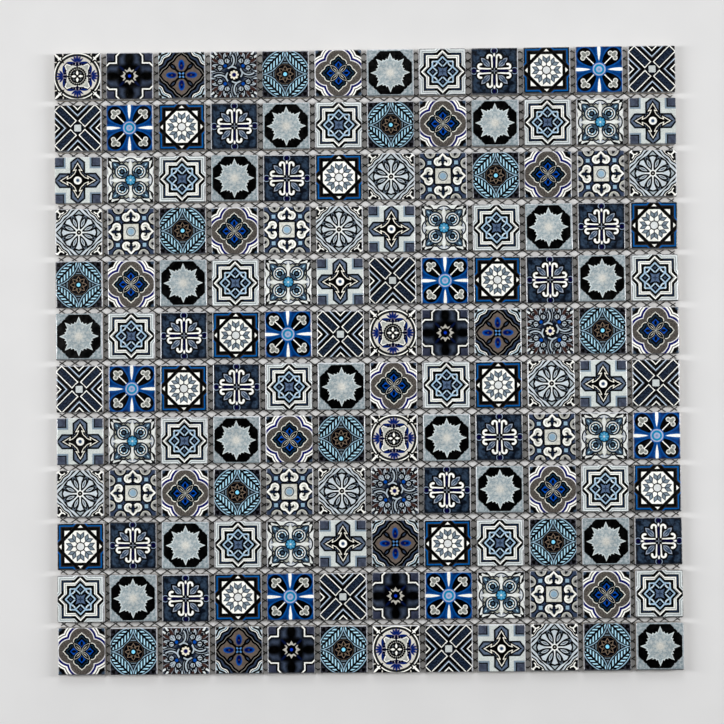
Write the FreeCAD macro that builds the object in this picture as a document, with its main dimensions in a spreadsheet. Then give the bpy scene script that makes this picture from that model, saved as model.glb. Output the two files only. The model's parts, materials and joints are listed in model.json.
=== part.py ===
import FreeCAD, Part
import math
import os
import Sketcher

# Mosaic tile sheet, in millimetres, lying face up with its net on the ground.
# A press-moulded glazed chip is modelled once. Its copies stand on a square pitch, gathered into
# one part for each printed design, and every chip sits face to face on the backing net.
# The net is two layers of thin slanting threads that cross under the chips, cut off just inside
# the outer row of chips. X runs along a row of chips, Y up the columns, and Z out of the glazed
# faces, from the middle of the sheet's underside.

SIZES = (
    ("tile_side", 22.8, "side of a chip across its glazed face"),
    ("tile_height", 5.5, "height of a chip from its back to its face"),
    ("tile_draft", 1.5, "angle in degrees by which a chip narrows towards its back"),
    ("corner_cut", 0.7, "flat cut on a chip's four upright corners"),
    ("edge_inset", 0.9, "width of the rounded edge round the glazed face"),
    ("edge_drop", 0.8, "depth of the rounded edge round the glazed face"),
    ("joint_gap", 2.4, "width of the grout joint between two faces"),
    ("columns", 12, "chips along a row"),
    ("rows", 12, "rows of chips"),
    ("thread_width", 0.5, "width of a net thread"),
    ("thread_height", 0.25, "height of a net thread, one layer of the net"),
    ("meshes_across", 4, "net openings along one pitch in X"),
    ("meshes_up", 6, "net openings along one pitch in Y"),
    ("net_inset", 0.75, "how far the net stops inside the outer chips"),
)

DERIVED = (
    ("tile_pitch", "=tile_side + joint_gap", "from one chip to the next"),
    ("draft_inset", "=(tile_height - edge_drop) * tan(tile_draft * 1 deg)",
     "how far a chip's back lies inside its face"),
    ("tile_seat", "=2 * thread_height", "height of a chip's back over the ground"),
    ("net_length", "=columns * tile_pitch - joint_gap - 2 * net_inset", "net along X"),
    ("net_depth", "=rows * tile_pitch - joint_gap - 2 * net_inset", "net along Y"),
    ("mesh_length", "=tile_pitch / meshes_across", "one net opening along X"),
    ("mesh_depth", "=tile_pitch / meshes_up", "one net opening along Y"),
    ("thread_lean", "=net_depth * mesh_length / mesh_depth", "sideways run of one thread"),
    ("thread_run", "=thread_width * sqrt(mesh_length ^ 2 + mesh_depth ^ 2) / mesh_depth",
     "width of a thread measured along X"),
    ("thread_count", "=2 * ceil((net_length + thread_lean) / (2 * mesh_length))",
     "threads in one layer"),
    ("trim_reach", "=net_length / 2 + thread_lean + mesh_length", "how far the trim cuts reach"),
)

# The order of the printed designs, row by row from the far edge, one letter to a chip.
LAYOUT = (
    "ABCDEFGHIJKL",
    "LKJIGHEFGHMN",
    "NMHGIJOPEFPO",
    "OPEFPONMHGIJ",
    "EFGHMNLKJIGH",
    "GHIJKLABCDEF",
    "LKJIHGFHJONL",
    "NMHGFEAGIPMK",
    "OPFEPODIGFHJ",
    "JIGHMNCJHEGI",
    "HGIJKLBKMPFH",
    "FEDCBEALNOEG",
)

DESIGNS = {
    "A": "palmette_medallion_tiles",
    "B": "midnight_cross_tiles",
    "C": "quatrefoil_diamond_tiles",
    "D": "scroll_thicket_tiles",
    "E": "leaf_wreath_tiles",
    "F": "bud_quatrefoil_tiles",
    "G": "silver_star_tiles",
    "H": "interlaced_star_tiles",
    "I": "fleur_cross_tiles",
    "J": "framed_rosette_tiles",
    "K": "pinwheel_tiles",
    "L": "lattice_cross_tiles",
    "M": "scroll_rosette_tiles",
    "N": "arrow_cross_tiles",
    "O": "flower_diamond_tiles",
    "P": "heart_tiles",
}

PARTS_FOLDER = "parts"
SHEET_NAME = "Sizes"
FIRST_ROW = 2
EDGE_STEPS = 3
SQUARE_SIDES = 4
QUARTER_TURN = 90
FULL_TURN = 360
X_AXIS_OF_SKETCH = -1


def write_sizes(doc):
    """Fill the spreadsheet with the driving sizes and the sizes that follow from them."""
    sheet = doc.addObject("Spreadsheet::Sheet", SHEET_NAME)
    for heading, column in (("name", "A"), ("value", "B"), ("meaning", "C")):
        sheet.set(f"{column}1", heading)
    for row, (name, value, meaning) in enumerate(SIZES + DERIVED, FIRST_ROW):
        sheet.set(f"A{row}", name)
        sheet.set(f"B{row}", str(value))
        sheet.set(f"C{row}", meaning)
        sheet.setAlias(f"B{row}", name)
    doc.recompute()
    return sheet


def size(name):
    """Give the expression that reads one named size."""
    return f"{SHEET_NAME}.{name}"


def bind(item, bindings):
    """Drive properties of a document object, or constraints of a sketch, by expressions."""
    for path, expression in bindings.items():
        item.setExpression(path, expression)


def new_body(doc, label, allow_many=False):
    """Add a body with its own label, able to hold several separate solids when asked."""
    body = doc.addObject("PartDesign::Body", label)
    body.Label = label
    body.AllowCompound = allow_many
    return body


def origin_feature(body, role):
    """Find one of the body's own origin planes or axes."""
    return next(part for part in body.Origin.OriginFeatures if part.Role == role)


def new_sketch(body, label, plane="XY_Plane"):
    """Add a sketch on one of the body's own origin planes, the ground plane if none is named."""
    sketch = body.newObject("Sketcher::SketchObject", label)
    sketch.Label = label
    sketch.AttachmentSupport = (origin_feature(body, plane), [""])
    sketch.MapMode = "FlatFace"
    return sketch


def add_outline(sketch, name, corners):
    """Draw a closed outline and tie each corner to named distances from the origin.

    Args:
        sketch: the sketch to draw in.
        name: a word that starts the names of this outline's constraints.
        corners: for each corner its rough place and the expressions of its x and y, where
            None leaves the corner on the axis.
    """
    start = sketch.GeometryCount
    places = [FreeCAD.Vector(x, y, 0) for (x, y), _ in corners]
    for index, place in enumerate(places):
        following = places[(index + 1) % len(places)]
        sketch.addGeometry(Part.LineSegment(place, following), False)
    for index in range(len(places)):
        following = (index + 1) % len(places)
        sketch.addConstraint(
            Sketcher.Constraint("Coincident", start + index, 2, start + following, 1))
    for index, ((x, y), (x_size, y_size)) in enumerate(corners):
        for kind, rough, expression in (("DistanceX", x, x_size), ("DistanceY", y, y_size)):
            if expression is None:
                sketch.addConstraint(
                    Sketcher.Constraint("PointOnObject", start + index, 1, X_AXIS_OF_SKETCH))
                continue
            number = sketch.addConstraint(
                Sketcher.Constraint(kind, -1, 1, start + index, 1, rough))
            label = f"{name}_{kind[-1].lower()}_{index + 1}"
            sketch.renameConstraint(number, label)
            sketch.setExpression(f"Constraints.{label}", expression)


def value(sheet, name):
    """Read the number a named size works out to."""
    return float(sheet.get(name))


def new_pocket(body, label, profile, both_ways=False, upward=False):
    """Cut a sketched outline right through the body."""
    pocket = body.newObject("PartDesign::Pocket", label)
    pocket.Label = label
    pocket.Profile = profile
    pocket.Type = "ThroughAll"
    pocket.Midplane = both_ways
    pocket.Reversed = upward
    body.Document.recompute()
    return pocket


def repeat_round(body, label, feature):
    """Repeat a cut on all four sides or corners, round the body's upright axis."""
    turned = body.newObject("PartDesign::PolarPattern", label)
    turned.Label = label
    turned.Originals = [feature]
    turned.Axis = (origin_feature(body, "Z_Axis"), [""])
    turned.Angle = FULL_TURN
    turned.Occurrences = SQUARE_SIDES
    body.Tip = turned
    body.Document.recompute()
    return turned


def edge_profile(sheet):
    """Set out the corners of what is cut from one side: the draft, the rounded edge, the rest.

    Returns:
        For each corner its rough place and the expressions of its two distances.
    """
    half, height = value(sheet, "tile_side") / 2, value(sheet, "tile_height")
    inset, drop = value(sheet, "edge_inset"), value(sheet, "edge_drop")
    half_side, full_height = f"{size('tile_side')} / 2", size("tile_height")
    corners = [((half - value(sheet, "draft_inset"), 0),
                (f"{half_side} - {size('draft_inset')}", None))]
    for step in range(EDGE_STEPS + 1):
        angle = QUARTER_TURN * step / EDGE_STEPS
        across, up = 1 - math.cos(math.radians(angle)), math.sin(math.radians(angle))
        corners.append((
            (half - inset * across, height - drop + drop * up),
            (f"{half_side} - {size('edge_inset')} * (1 - cos({angle} deg))",
             f"{full_height} - {size('edge_drop')} * (1 - sin({angle} deg))"),
        ))
    corners.append(((half * 2, height), (f"2 * {half_side}", full_height)))
    corners.append(((half * 2, 0), (f"2 * {half_side}", None)))
    return corners


def build_chip(doc, sheet):
    """Model one chip: a square blank, drafted sides with rounded edges, and cut corners."""
    body = new_body(doc, "chip")
    half = value(sheet, "tile_side") / 2
    half_side = f"{size('tile_side')} / 2"
    outline = new_sketch(body, "chip_outline")
    add_outline(outline, "face", [
        ((x * half, y * half), (f"{x} * {half_side}", f"{y} * {half_side}"))
        for x, y in ((-1, -1), (1, -1), (1, 1), (-1, 1))
    ])
    blank = body.newObject("PartDesign::Pad", "chip_blank")
    blank.Label = "chip_blank"
    blank.Profile = outline
    blank.setExpression("Length", size("tile_height"))
    doc.recompute()

    profile = new_sketch(body, "chip_edge_profile", "XZ_Plane")
    add_outline(profile, "edge", edge_profile(sheet))
    side = new_pocket(body, "chip_drafted_side", profile, both_ways=True)
    repeat_round(body, "chip_drafted_sides", side)

    cut = value(sheet, "corner_cut")
    corner = new_sketch(body, "chip_corner_outline")
    near = f"{half_side} - {size('corner_cut')}"
    far = f"{half_side} + {size('corner_cut')}"
    add_outline(corner, "corner", [
        ((half - cut, half), (near, half_side)),
        ((half, half - cut), (half_side, near)),
        ((half + cut, half + cut), (far, far)),
    ])
    upright = new_pocket(body, "chip_cut_corner", corner, upward=True)
    repeat_round(body, "chip_cut_corners", upright)
    return body


def places_of(letter, sheet):
    """List the row and column of every chip that carries a design."""
    rows = int(value(sheet, "rows"))
    columns = int(value(sheet, "columns"))
    return [
        (row, column)
        for row in range(rows)
        for column in range(columns)
        if LAYOUT[row % len(LAYOUT)][column % len(LAYOUT[0])] == letter
    ]


def set_out_design(doc, sheet, chip, letter, label):
    """Place the copies of the chip that carry one design and gather them in one part."""
    copies = []
    for row, column in places_of(letter, sheet):
        copy = doc.addObject("App::Link", f"chip_{letter}_{row + 1}_{column + 1}")
        copy.LinkedObject = chip
        bind(copy, {
            "Placement.Base.x":
                f"({column} - ({size('columns')} - 1) / 2) * {size('tile_pitch')}",
            "Placement.Base.y":
                f"(({size('rows')} - 1) / 2 - {row}) * {size('tile_pitch')}",
            "Placement.Base.z": size("tile_seat"),
        })
        copies.append(copy)
    design = doc.addObject("Part::Compound", label)
    design.Label = label
    design.Links = copies
    return design


def build_threads(doc, sheet, label, lean_sign, layer):
    """Lay one layer of the net: a slanting thread, its row of copies, and the trimmed sides."""
    body = new_body(doc, label, allow_many=True)
    depth = value(sheet, "net_depth")
    lean = value(sheet, "thread_lean")
    run = value(sheet, "thread_run")
    step = value(sheet, "mesh_length")
    count = value(sheet, "thread_count")
    first = -(count - 1) / 2 * step

    thread = new_sketch(body, f"{label}_first_thread")
    first_line = f"-({size('thread_count')} - 1) / 2 * {size('mesh_length')}"
    half_run = f"{size('thread_run')} / 2"
    half_lean = f"{lean_sign} * {size('thread_lean')} / 2"
    half_depth = f"{size('net_depth')} / 2"
    add_outline(thread, "thread", [
        ((first - lean_sign * lean / 2 - run / 2, -depth / 2),
         (f"{first_line} - {half_lean} - {half_run}", f"-{half_depth}")),
        ((first - lean_sign * lean / 2 + run / 2, -depth / 2),
         (f"{first_line} - {half_lean} + {half_run}", f"-{half_depth}")),
        ((first + lean_sign * lean / 2 + run / 2, depth / 2),
         (f"{first_line} + {half_lean} + {half_run}", half_depth)),
        ((first + lean_sign * lean / 2 - run / 2, depth / 2),
         (f"{first_line} + {half_lean} - {half_run}", half_depth)),
    ])
    strip = body.newObject("PartDesign::Pad", f"{label}_strip")
    strip.Profile = thread
    strip.setExpression("Length", size("thread_height"))
    doc.recompute()

    row = body.newObject("PartDesign::LinearPattern", f"{label}_row")
    row.Originals = [strip]
    row.Direction = (origin_feature(body, "X_Axis"), [""])
    bind(row, {
        "Length": f"({size('thread_count')} - 1) * {size('mesh_length')}",
        "Occurrences": size("thread_count"),
    })
    body.Tip = row
    doc.recompute()

    edge = value(sheet, "net_length") / 2
    reach = value(sheet, "trim_reach")
    trim = new_sketch(body, f"{label}_trim_outline")
    for side, word in ((-1, "left"), (1, "right")):
        near = f"{side} * {size('net_length')} / 2"
        far = f"{side} * {size('trim_reach')}"
        add_outline(trim, word, [
            ((side * edge, -depth), (near, f"-{size('net_depth')}")),
            ((side * reach, -depth), (far, f"-{size('net_depth')}")),
            ((side * reach, depth), (far, size("net_depth"))),
            ((side * edge, depth), (near, size("net_depth"))),
        ])
    body.Tip = new_pocket(body, f"{label}_trimmed_sides", trim, upward=True)
    body.setExpression("Placement.Base.z", f"{layer} * {size('thread_height')}")
    doc.recompute()
    return body


def check_document(doc):
    """Stop if any object of the document failed to build or has a faulty shape."""
    for item in doc.Objects:
        if "Invalid" in item.State or "Error" in item.State:
            raise ValueError(f"{item.Label} did not build: {item.State}")
        shape = getattr(item, "Shape", None)
        if isinstance(shape, Part.Shape) and (shape.isNull() or not shape.isValid()):
            raise ValueError(f"{item.Label} has a faulty shape")


def write_parts(parts):
    """Write each part to its own STEP file, named after the part."""
    os.makedirs(PARTS_FOLDER, exist_ok=True)
    for part in parts:
        part.Shape.exportStep(os.path.join(PARTS_FOLDER, f"{part.Label}.step"))


def main():
    """Build the whole sheet and write its parts."""
    doc = FreeCAD.newDocument("mosaic_tile_sheet")
    sheet = write_sizes(doc)
    chip = build_chip(doc, sheet)
    designs = [
        set_out_design(doc, sheet, chip, letter, label)
        for letter, label in DESIGNS.items()
        if places_of(letter, sheet)
    ]
    net = [
        build_threads(doc, sheet, "net_rising_threads", 1, 0),
        build_threads(doc, sheet, "net_falling_threads", -1, 1),
    ]
    doc.recompute()
    check_document(doc)
    write_parts(designs + net)
    for part in designs + net:
        box = part.Shape.BoundBox
        print(f"{part.Label}: {len(part.Shape.Solids)} solids, z {box.ZMin:.2f} to {box.ZMax:.2f}, "
              f"x {box.XMin:.2f} to {box.XMax:.2f}, volume {part.Shape.Volume / 1000:.2f} cm3")


main()
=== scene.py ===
"""Mosaic tile sheet: printed, glazed ceramic chips bonded in rows on a woven net.

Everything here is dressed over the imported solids: each pattern of chip is one piece, the net is
two, and the floor, lamps and camera stand round them. Lengths are metres.
"""

import json
import logging
import math
import random
from dataclasses import dataclass
from enum import Enum

import bmesh
import bpy
from bmesh.types import BMEdge, BMesh, BMFace, BMVert
from bpy.types import Material, Mesh, Node, NodeSocket as Socket, NodeTree, Object
from mathutils import Matrix, Vector, noise

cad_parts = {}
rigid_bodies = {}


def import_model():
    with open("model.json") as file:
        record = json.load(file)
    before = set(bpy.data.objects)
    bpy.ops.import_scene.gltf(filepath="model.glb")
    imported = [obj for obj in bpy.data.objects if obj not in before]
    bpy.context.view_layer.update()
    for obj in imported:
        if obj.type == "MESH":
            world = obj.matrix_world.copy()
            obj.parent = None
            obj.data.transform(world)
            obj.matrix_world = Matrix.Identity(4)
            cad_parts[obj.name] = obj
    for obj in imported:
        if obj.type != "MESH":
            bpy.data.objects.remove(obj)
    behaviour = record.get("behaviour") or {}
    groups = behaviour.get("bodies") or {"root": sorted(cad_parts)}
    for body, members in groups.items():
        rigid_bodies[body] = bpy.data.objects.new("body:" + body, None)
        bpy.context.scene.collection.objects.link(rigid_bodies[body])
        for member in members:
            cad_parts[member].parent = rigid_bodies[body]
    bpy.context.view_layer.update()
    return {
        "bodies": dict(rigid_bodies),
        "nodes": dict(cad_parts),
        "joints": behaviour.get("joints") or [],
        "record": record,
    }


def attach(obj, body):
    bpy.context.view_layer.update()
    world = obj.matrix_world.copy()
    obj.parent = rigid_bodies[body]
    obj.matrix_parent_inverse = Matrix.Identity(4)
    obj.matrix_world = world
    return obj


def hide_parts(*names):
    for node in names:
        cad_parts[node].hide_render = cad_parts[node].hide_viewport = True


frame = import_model()

LOG = logging.getLogger("tile_sheet")
FIRST_SEED, SEED_STEP = 3.1, 1.7
MM = 0.001
HAIR = 0.001 * MM

Tint = tuple[float, float, float]
Point = tuple[float, float]
Spot = tuple[float, float, float]
Value = float | Point | Tint | Socket

WHITE: Tint = (0.96, 0.96, 0.94)
CREAM: Tint = (0.80, 0.80, 0.77)
BLACK: Tint = (0.008, 0.008, 0.012)


def linear(tint: Tint) -> Tint:
    """Turn a colour as a screen shows it into the linear one that shaders take.

    Args:
        tint: Red, green and blue from 0 to 1, as a screen shows them.

    Returns:
        The same colour in linear light.
    """
    return tuple(c / 12.92 if c <= 0.04045 else ((c + 0.055) / 1.055) ** 2.4 for c in tint)


def point(centre: Point | float) -> Point:
    """Return a centre as a point: a bare number lies on the first axis."""
    return centre if isinstance(centre, tuple) else (centre, 0)


def polar(angle: float, reach: float = 1.0) -> Point:
    """Return the point that lies at an angle in degrees and at a distance."""
    return reach * math.cos(math.radians(angle)), reach * math.sin(math.radians(angle))


class Kind(Enum):
    """What a socket of a shader node group carries."""

    VALUE = "NodeSocketFloat"
    VECTOR = "NodeSocketVector"
    COLOUR = "NodeSocketColor"


VALUE, VECTOR, COLOUR = Kind


class Wiring:
    """Adds nodes to one node tree and joins them up."""

    def __init__(self, tree: NodeTree) -> None:
        """Take up the node tree of a material, a group or the world."""
        self.tree = tree

    def feed(self, socket: Socket, value: Value) -> None:
        """Link an input to another node, or set it.

        Args:
            socket: The input.
            value: An output to link, or a number or tuple to set.
        """
        if isinstance(value, Socket):
            self.tree.links.new(value, socket)
        elif isinstance(value, (int, float)):
            socket.default_value = value
        else:
            rest = (1.0,) if socket.type == "RGBA" else (0.0,)
            socket.default_value = (tuple(value) + rest * 4)[:len(socket.default_value)]

    def node(self, kind: str, settings: dict | None = None, **inputs: Value) -> Node:
        """Add a shader node.

        Args:
            kind: The node's type name, after ShaderNode.
            settings: Attributes to set on the node.
            inputs: Values for its inputs, by name, with _ for a space.

        Returns:
            The node.
        """
        made = self.tree.nodes.new("ShaderNode" + kind)
        for name, setting in (settings or {}).items():
            setattr(made, name, setting)
        return self.wire(made, **inputs)

    def wire(self, node: Node, **inputs: Value) -> Node:
        """Feed inputs of a node.

        Args:
            node: The node.
            inputs: Values for its inputs, by name, with _ for a space.

        Returns:
            The node.
        """
        for name, value in inputs.items():
            self.feed(node.inputs[name.replace("_", " ")], value)
        return node

    def math(self, operation: str, *values: Value, clamp: bool = False) -> Socket:
        """Add a Math node.

        Args:
            operation: The node's operation.
            values: Its inputs in order.
            clamp: Whether the result is held between 0 and 1.

        Returns:
            The result.
        """
        made = self.node("Math", {"operation": operation, "use_clamp": clamp})
        for socket, value in zip(made.inputs, values):
            self.feed(socket, value)
        return made.outputs[0]

    def vector(self, operation: str, *values: Value) -> Socket:
        """Add a Vector Math node.

        Args:
            operation: The node's operation.
            values: Its inputs in order.

        Returns:
            The resulting vector, or value where the operation gives one.
        """
        made = self.node("VectorMath", {"operation": operation})
        for socket, value in zip([s for s in made.inputs if s.enabled], values):
            self.feed(socket, value)
        return next(s for s in made.outputs if s.enabled)

    def scale(self, vector: Value, by: Value) -> Socket:
        """Return a vector or a colour multiplied by a value."""
        return self.node("VectorMath", {"operation": "SCALE"}, Vector=vector, Scale=by).outputs[0]

    def mirror(self, place: Socket, centre: Socket) -> Socket:
        """Return how far a place is from a centre along each axis."""
        return self.vector("ABSOLUTE", self.vector("SUBTRACT", place, centre))

    def split(self, vector: Socket) -> tuple[Socket, ...]:
        """Return the three parts of a vector."""
        return tuple(self.node("SeparateXYZ", Vector=vector).outputs)

    def gather(self, x: Value, y: Value) -> Socket:
        """Return a vector made of two parts."""
        return self.node("CombineXYZ", X=x, Y=y).outputs[0]

    def mix(self, share: Value, under: Value, over: Value) -> Socket:
        """Mix two colours.

        Args:
            share: How much of the upper colour shows.
            under: The lower colour.
            over: The upper colour.

        Returns:
            The mixed colour.
        """
        made = self.node("Mix", {"data_type": "RGBA"})
        colours = [s for s in made.inputs if s.type == "RGBA"]
        for socket, value in ((made.inputs[0], share), (colours[0], under), (colours[1], over)):
            self.feed(socket, value)
        return next(s for s in made.outputs if s.type == "RGBA")

    def ramp(self, value: Socket, low: Value, high: Value, start: Value = 0.0,
             end: Value = 1.0) -> Socket:
        """Map a value onto a range smoothly, held at both ends.

        Args:
            value: The value.
            low: What maps to start.
            high: What maps to end.
            start: The result at low.
            end: The result at high.

        Returns:
            The mapped value.
        """
        return self.node("MapRange", {"interpolation_type": "SMOOTHSTEP"}, Value=value,
                         From_Min=low, From_Max=high, To_Min=start, To_Max=end).outputs[0]

    def noise(self, place: Socket, scale: Value, detail: float = 1.0,
              roughness: float = 0.5) -> Socket:
        """Add a noise that is about 0.5 all over.

        Args:
            place: Where it is read.
            scale: How fine it is.
            detail: How many finer layers it has.
            roughness: How strong they are.

        Returns:
            The noise.
        """
        return self.node("TexNoise", Vector=place, Scale=scale, Detail=detail,
                         Roughness=roughness).outputs[0]

    def swing(self, low: float, high: float, *settings: Value) -> Socket:
        """Return a noise of some settings, spread out to swing from low to high."""
        return self.ramp(self.noise(*settings), 0.3, 0.7, low, high)


def label(word: str) -> str:
    """Return the name of the group socket that a keyword stands for."""
    return word.replace("_", " ").capitalize()


class Effect(Wiring):
    """A shader node group with named inputs and outputs, built once."""

    def __init__(self, name: str, outputs: dict[str, Kind], **inputs: Kind) -> None:
        """Make the empty group.

        Args:
            name: The group's name.
            outputs: The kind of each output, by name.
            inputs: The kind of each input, by name.
        """
        super().__init__(bpy.data.node_groups.new(name, "ShaderNodeTree"))
        for way, sockets in (("INPUT", inputs), ("OUTPUT", outputs)):
            for word, kind in sockets.items():
                self.tree.interface.new_socket(label(word), in_out=way, socket_type=kind.value)
        self.given = list(self.tree.nodes.new("NodeGroupInput").outputs)[:len(inputs)]
        self.sinks = self.tree.nodes.new("NodeGroupOutput").inputs

    def give(self, *values: Value) -> "Effect":
        """Feed the group's outputs in order.

        Args:
            values: What each output gives.

        Returns:
            The finished group.
        """
        for socket, value in zip(self.sinks, values):
            self.feed(socket, value)
        return self


class EffectShelf:
    """Builds each effect the first time that it is asked for, and places copies of it.

    A noise is named with its scale, the number of its finer layers and how strong they are.
    """

    LEVEL = (1, 1, 0)
    SLANT = math.sqrt(0.5)
    STEEP = 70.0
    MIDDLE_TONE = 0.62
    SCREEN_GAMMA = 0.45
    THINNEST = 0.01
    FLATTEST = 0.0001
    FILAMENTS = 4
    BLOTCHES = (2.0, 0.6)
    BLOTCH_EDGE = (0.36, 0.68)
    WAVES_OF_HAND = 4.5
    BROAD_WASH, FINE_WASH, BROAD_SHARE = (140.0,), (1500.0, 2.0, 0.65), 0.6
    SPECK_EDGE = (0.10, 0.24)
    RIM_RAG, LOW_START, LOW_END = (900.0, 2.0), 0.02, 0.98
    RELIEF_SCALES = (120.0, 650.0, 3800.0)
    FUZZ = (2600.0, 3.0, 0.7)

    def __init__(self) -> None:
        """Start with no effects built."""
        self.built: dict[str, Effect] = {}

    def place(self, wiring: Wiring, name: str, **inputs: Value) -> Node:
        """Place an effect in a tree.

        Args:
            wiring: The tree it goes into.
            name: The effect's name, which is the name of the method that builds it.
            inputs: Values for its inputs, by name, with _ for a space.

        Returns:
            The group node.
        """
        if name not in self.built:
            self.built[name] = getattr(self, name)()
        group = wiring.node("Group", {"node_tree": self.built[name].tree})
        for word, value in inputs.items():
            wiring.feed(group.inputs[label(word)], value)
        return group

    def shape(self, name: str, **sizes: Kind) -> tuple[Effect, list[Socket]]:
        """Start an effect that measures the distance to a shape's outline.

        Args:
            name: The shape's name.
            sizes: The kind of each of its inputs, after the place that is measured.

        Returns:
            The effect, and its inputs in order.
        """
        w = Effect(name, {"distance": VALUE}, place=VECTOR, **sizes)
        return w, w.given

    def round_centre(self, name: str, **sizes: Kind) -> tuple[Effect, Socket, Socket, list[Socket]]:
        """Start an effect that turns a face about its centre.

        Args:
            name: The effect's name.
            sizes: The kind of each of its inputs, after the place that is turned.

        Returns:
            The effect, the place's angle and its distance, and the inputs after it.
        """
        w = Effect(name, {"folded": VECTOR}, place=VECTOR, **sizes)
        x, y, _ = w.split(w.given[0])
        return w, w.math("ARCTAN2", y, x), w.vector("LENGTH", w.given[0]), w.given[1:]

    def at_angle(self, w: Effect, angle: Socket, reach: Socket) -> Effect:
        """Give the place that lies at an angle and at a distance."""
        return w.give(w.scale(w.gather(w.math("COSINE", angle), w.math("SINE", angle)), reach))

    def inside(self, w: Effect, distance: Socket) -> Socket:
        """Return 1 inside a shape and 0 outside, with a crisp edge."""
        return w.math("MULTIPLY_ADD", distance, -self.STEEP, 0.5, clamp=True)

    def fold(self) -> Effect:
        """Fold a face onto itself about its axes and its diagonals.

        Returns:
            The group: Quarter is folded twice, Axis and Diagonal four times.
        """
        w = Effect("fold", {"quarter": VECTOR, "axis": VECTOR, "diagonal": VECTOR}, place=VECTOR)
        quarter = w.vector("ABSOLUTE", *w.given)
        x, y, _ = w.split(quarter)
        axis = w.gather(w.math("MAXIMUM", x, y), w.math("MINIMUM", x, y))
        turned = [w.vector("DOT_PRODUCT", axis, (self.SLANT, way * self.SLANT, 0))
                  for way in (1, -1)]
        return w.give(quarter, axis, w.gather(*turned))

    def rays(self) -> Effect:
        """Fold a face round its centre, so that one petal is drawn for all.

        Returns:
            The group.
        """
        w, angle, reach, (half_step, turn) = self.round_centre("rays", half_step=VALUE, turn=VALUE)
        angle = w.math("PINGPONG", w.math("ADD", angle, turn), half_step)
        return self.at_angle(w, angle, reach)

    def turns(self) -> Effect:
        """Turn a face into its first sector, so that a pinwheel is drawn once.

        Returns:
            The group.
        """
        w, angle, reach, (half_step,) = self.round_centre("turns", half_step=VALUE)
        angle = w.math("WRAP", angle, half_step, w.math("MULTIPLY", half_step, -1.0))
        return self.at_angle(w, angle, reach)

    def shift(self) -> Effect:
        """Measure a place from another centre, along a turned axis.

        Returns:
            The group.
        """
        w = Effect("shift", {"shifted": VECTOR}, place=VECTOR, centre=VECTOR, turn=VALUE)
        place, centre, turn = w.given
        away = w.vector("SUBTRACT", place, centre)
        turned = w.node("VectorRotate", {"rotation_type": "Z_AXIS"}, Vector=away, Angle=turn)
        return w.give(turned.outputs[0])

    def disc(self) -> Effect:
        """Build the disc from its centre and radius."""
        w, (place, centre, radius) = self.shape("disc", centre=VECTOR, radius=VALUE)
        return w.give(w.math("SUBTRACT", w.vector("DISTANCE", place, centre), radius))

    def oval(self) -> Effect:
        """Build the oval from its centre and radii.

        Returns:
            The group.
        """
        w, (place, centre, radii) = self.shape("oval", centre=VECTOR, radii=VECTOR)
        unit = w.vector("DIVIDE", w.vector("SUBTRACT", place, centre), radii)
        near = w.vector("LENGTH", unit)
        slope = w.math("ADD", w.vector("LENGTH", w.vector("DIVIDE", unit, radii)), self.FLATTEST)
        depth = w.math("MULTIPLY", near, w.math("SUBTRACT", near, 1.0))
        return w.give(w.math("DIVIDE", depth, slope))

    def egg(self) -> Effect:
        """Build the egg from its middle, length, half width and taper.

        Returns:
            The group.
        """
        w, (place, middle, length, half, taper) = self.shape(
            "egg", middle=VALUE, length=VALUE, half_width=VALUE, taper=VALUE)
        x, y, _ = w.split(place)
        along = w.math("DIVIDE", w.math("SUBTRACT", x, middle), length)
        width = w.math("MULTIPLY", half, w.math("MULTIPLY_ADD", taper, along, 1.0))
        across = w.math("DIVIDE", y, w.math("MAXIMUM", width, self.THINNEST))
        reach = w.vector("LENGTH", w.gather(along, across))
        return w.give(w.math("MULTIPLY", w.math("SUBTRACT", reach, 1.0), half))

    def lens(self) -> Effect:
        """Build the pointed leaf between two arcs.

        Returns:
            The group.
        """
        w, (place, middle, pull, radius) = self.shape("lens", middle=VECTOR, pull=VECTOR,
                                                      radius=VALUE)
        away = w.vector("DISTANCE", w.mirror(place, middle), pull)
        return w.give(w.math("SUBTRACT", away, radius))

    def box(self) -> Effect:
        """Build the rectangle from its centre and half sides.

        Returns:
            The group.
        """
        w, (place, centre, halves) = self.shape("box", centre=VECTOR, halves=VECTOR)
        x, y, _ = w.split(w.vector("SUBTRACT", w.mirror(place, centre), halves))
        return w.give(w.math("MAXIMUM", x, y))

    def diamond(self) -> Effect:
        """Build the diamond from its centre, the way its side faces and how far off it is.

        Returns:
            The group.
        """
        w, (place, centre, facing, offset) = self.shape(
            "diamond", centre=VECTOR, facing=VECTOR, offset=VALUE)
        away = w.vector("DOT_PRODUCT", w.mirror(place, centre), facing)
        return w.give(w.math("SUBTRACT", away, offset))

    def bar(self) -> Effect:
        """Build the round-ended bar from its start, its run and its half width.

        Returns:
            The group.
        """
        w, (place, start, run, share, half) = self.shape(
            "bar", start=VECTOR, run=VECTOR, share=VECTOR, half_width=VALUE)
        away = w.vector("SUBTRACT", place, start)
        along = w.math("ADD", w.vector("DOT_PRODUCT", away, share), 0.0, clamp=True)
        return w.give(w.math("SUBTRACT", w.vector("DISTANCE", away, w.scale(run, along)), half))

    def edge(self) -> Effect:
        """Build the half plane from the way it faces and its offset."""
        w, (place, facing, offset) = self.shape("edge", facing=VECTOR, offset=VALUE)
        return w.give(w.math("SUBTRACT", w.vector("DOT_PRODUCT", place, facing), offset))

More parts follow.
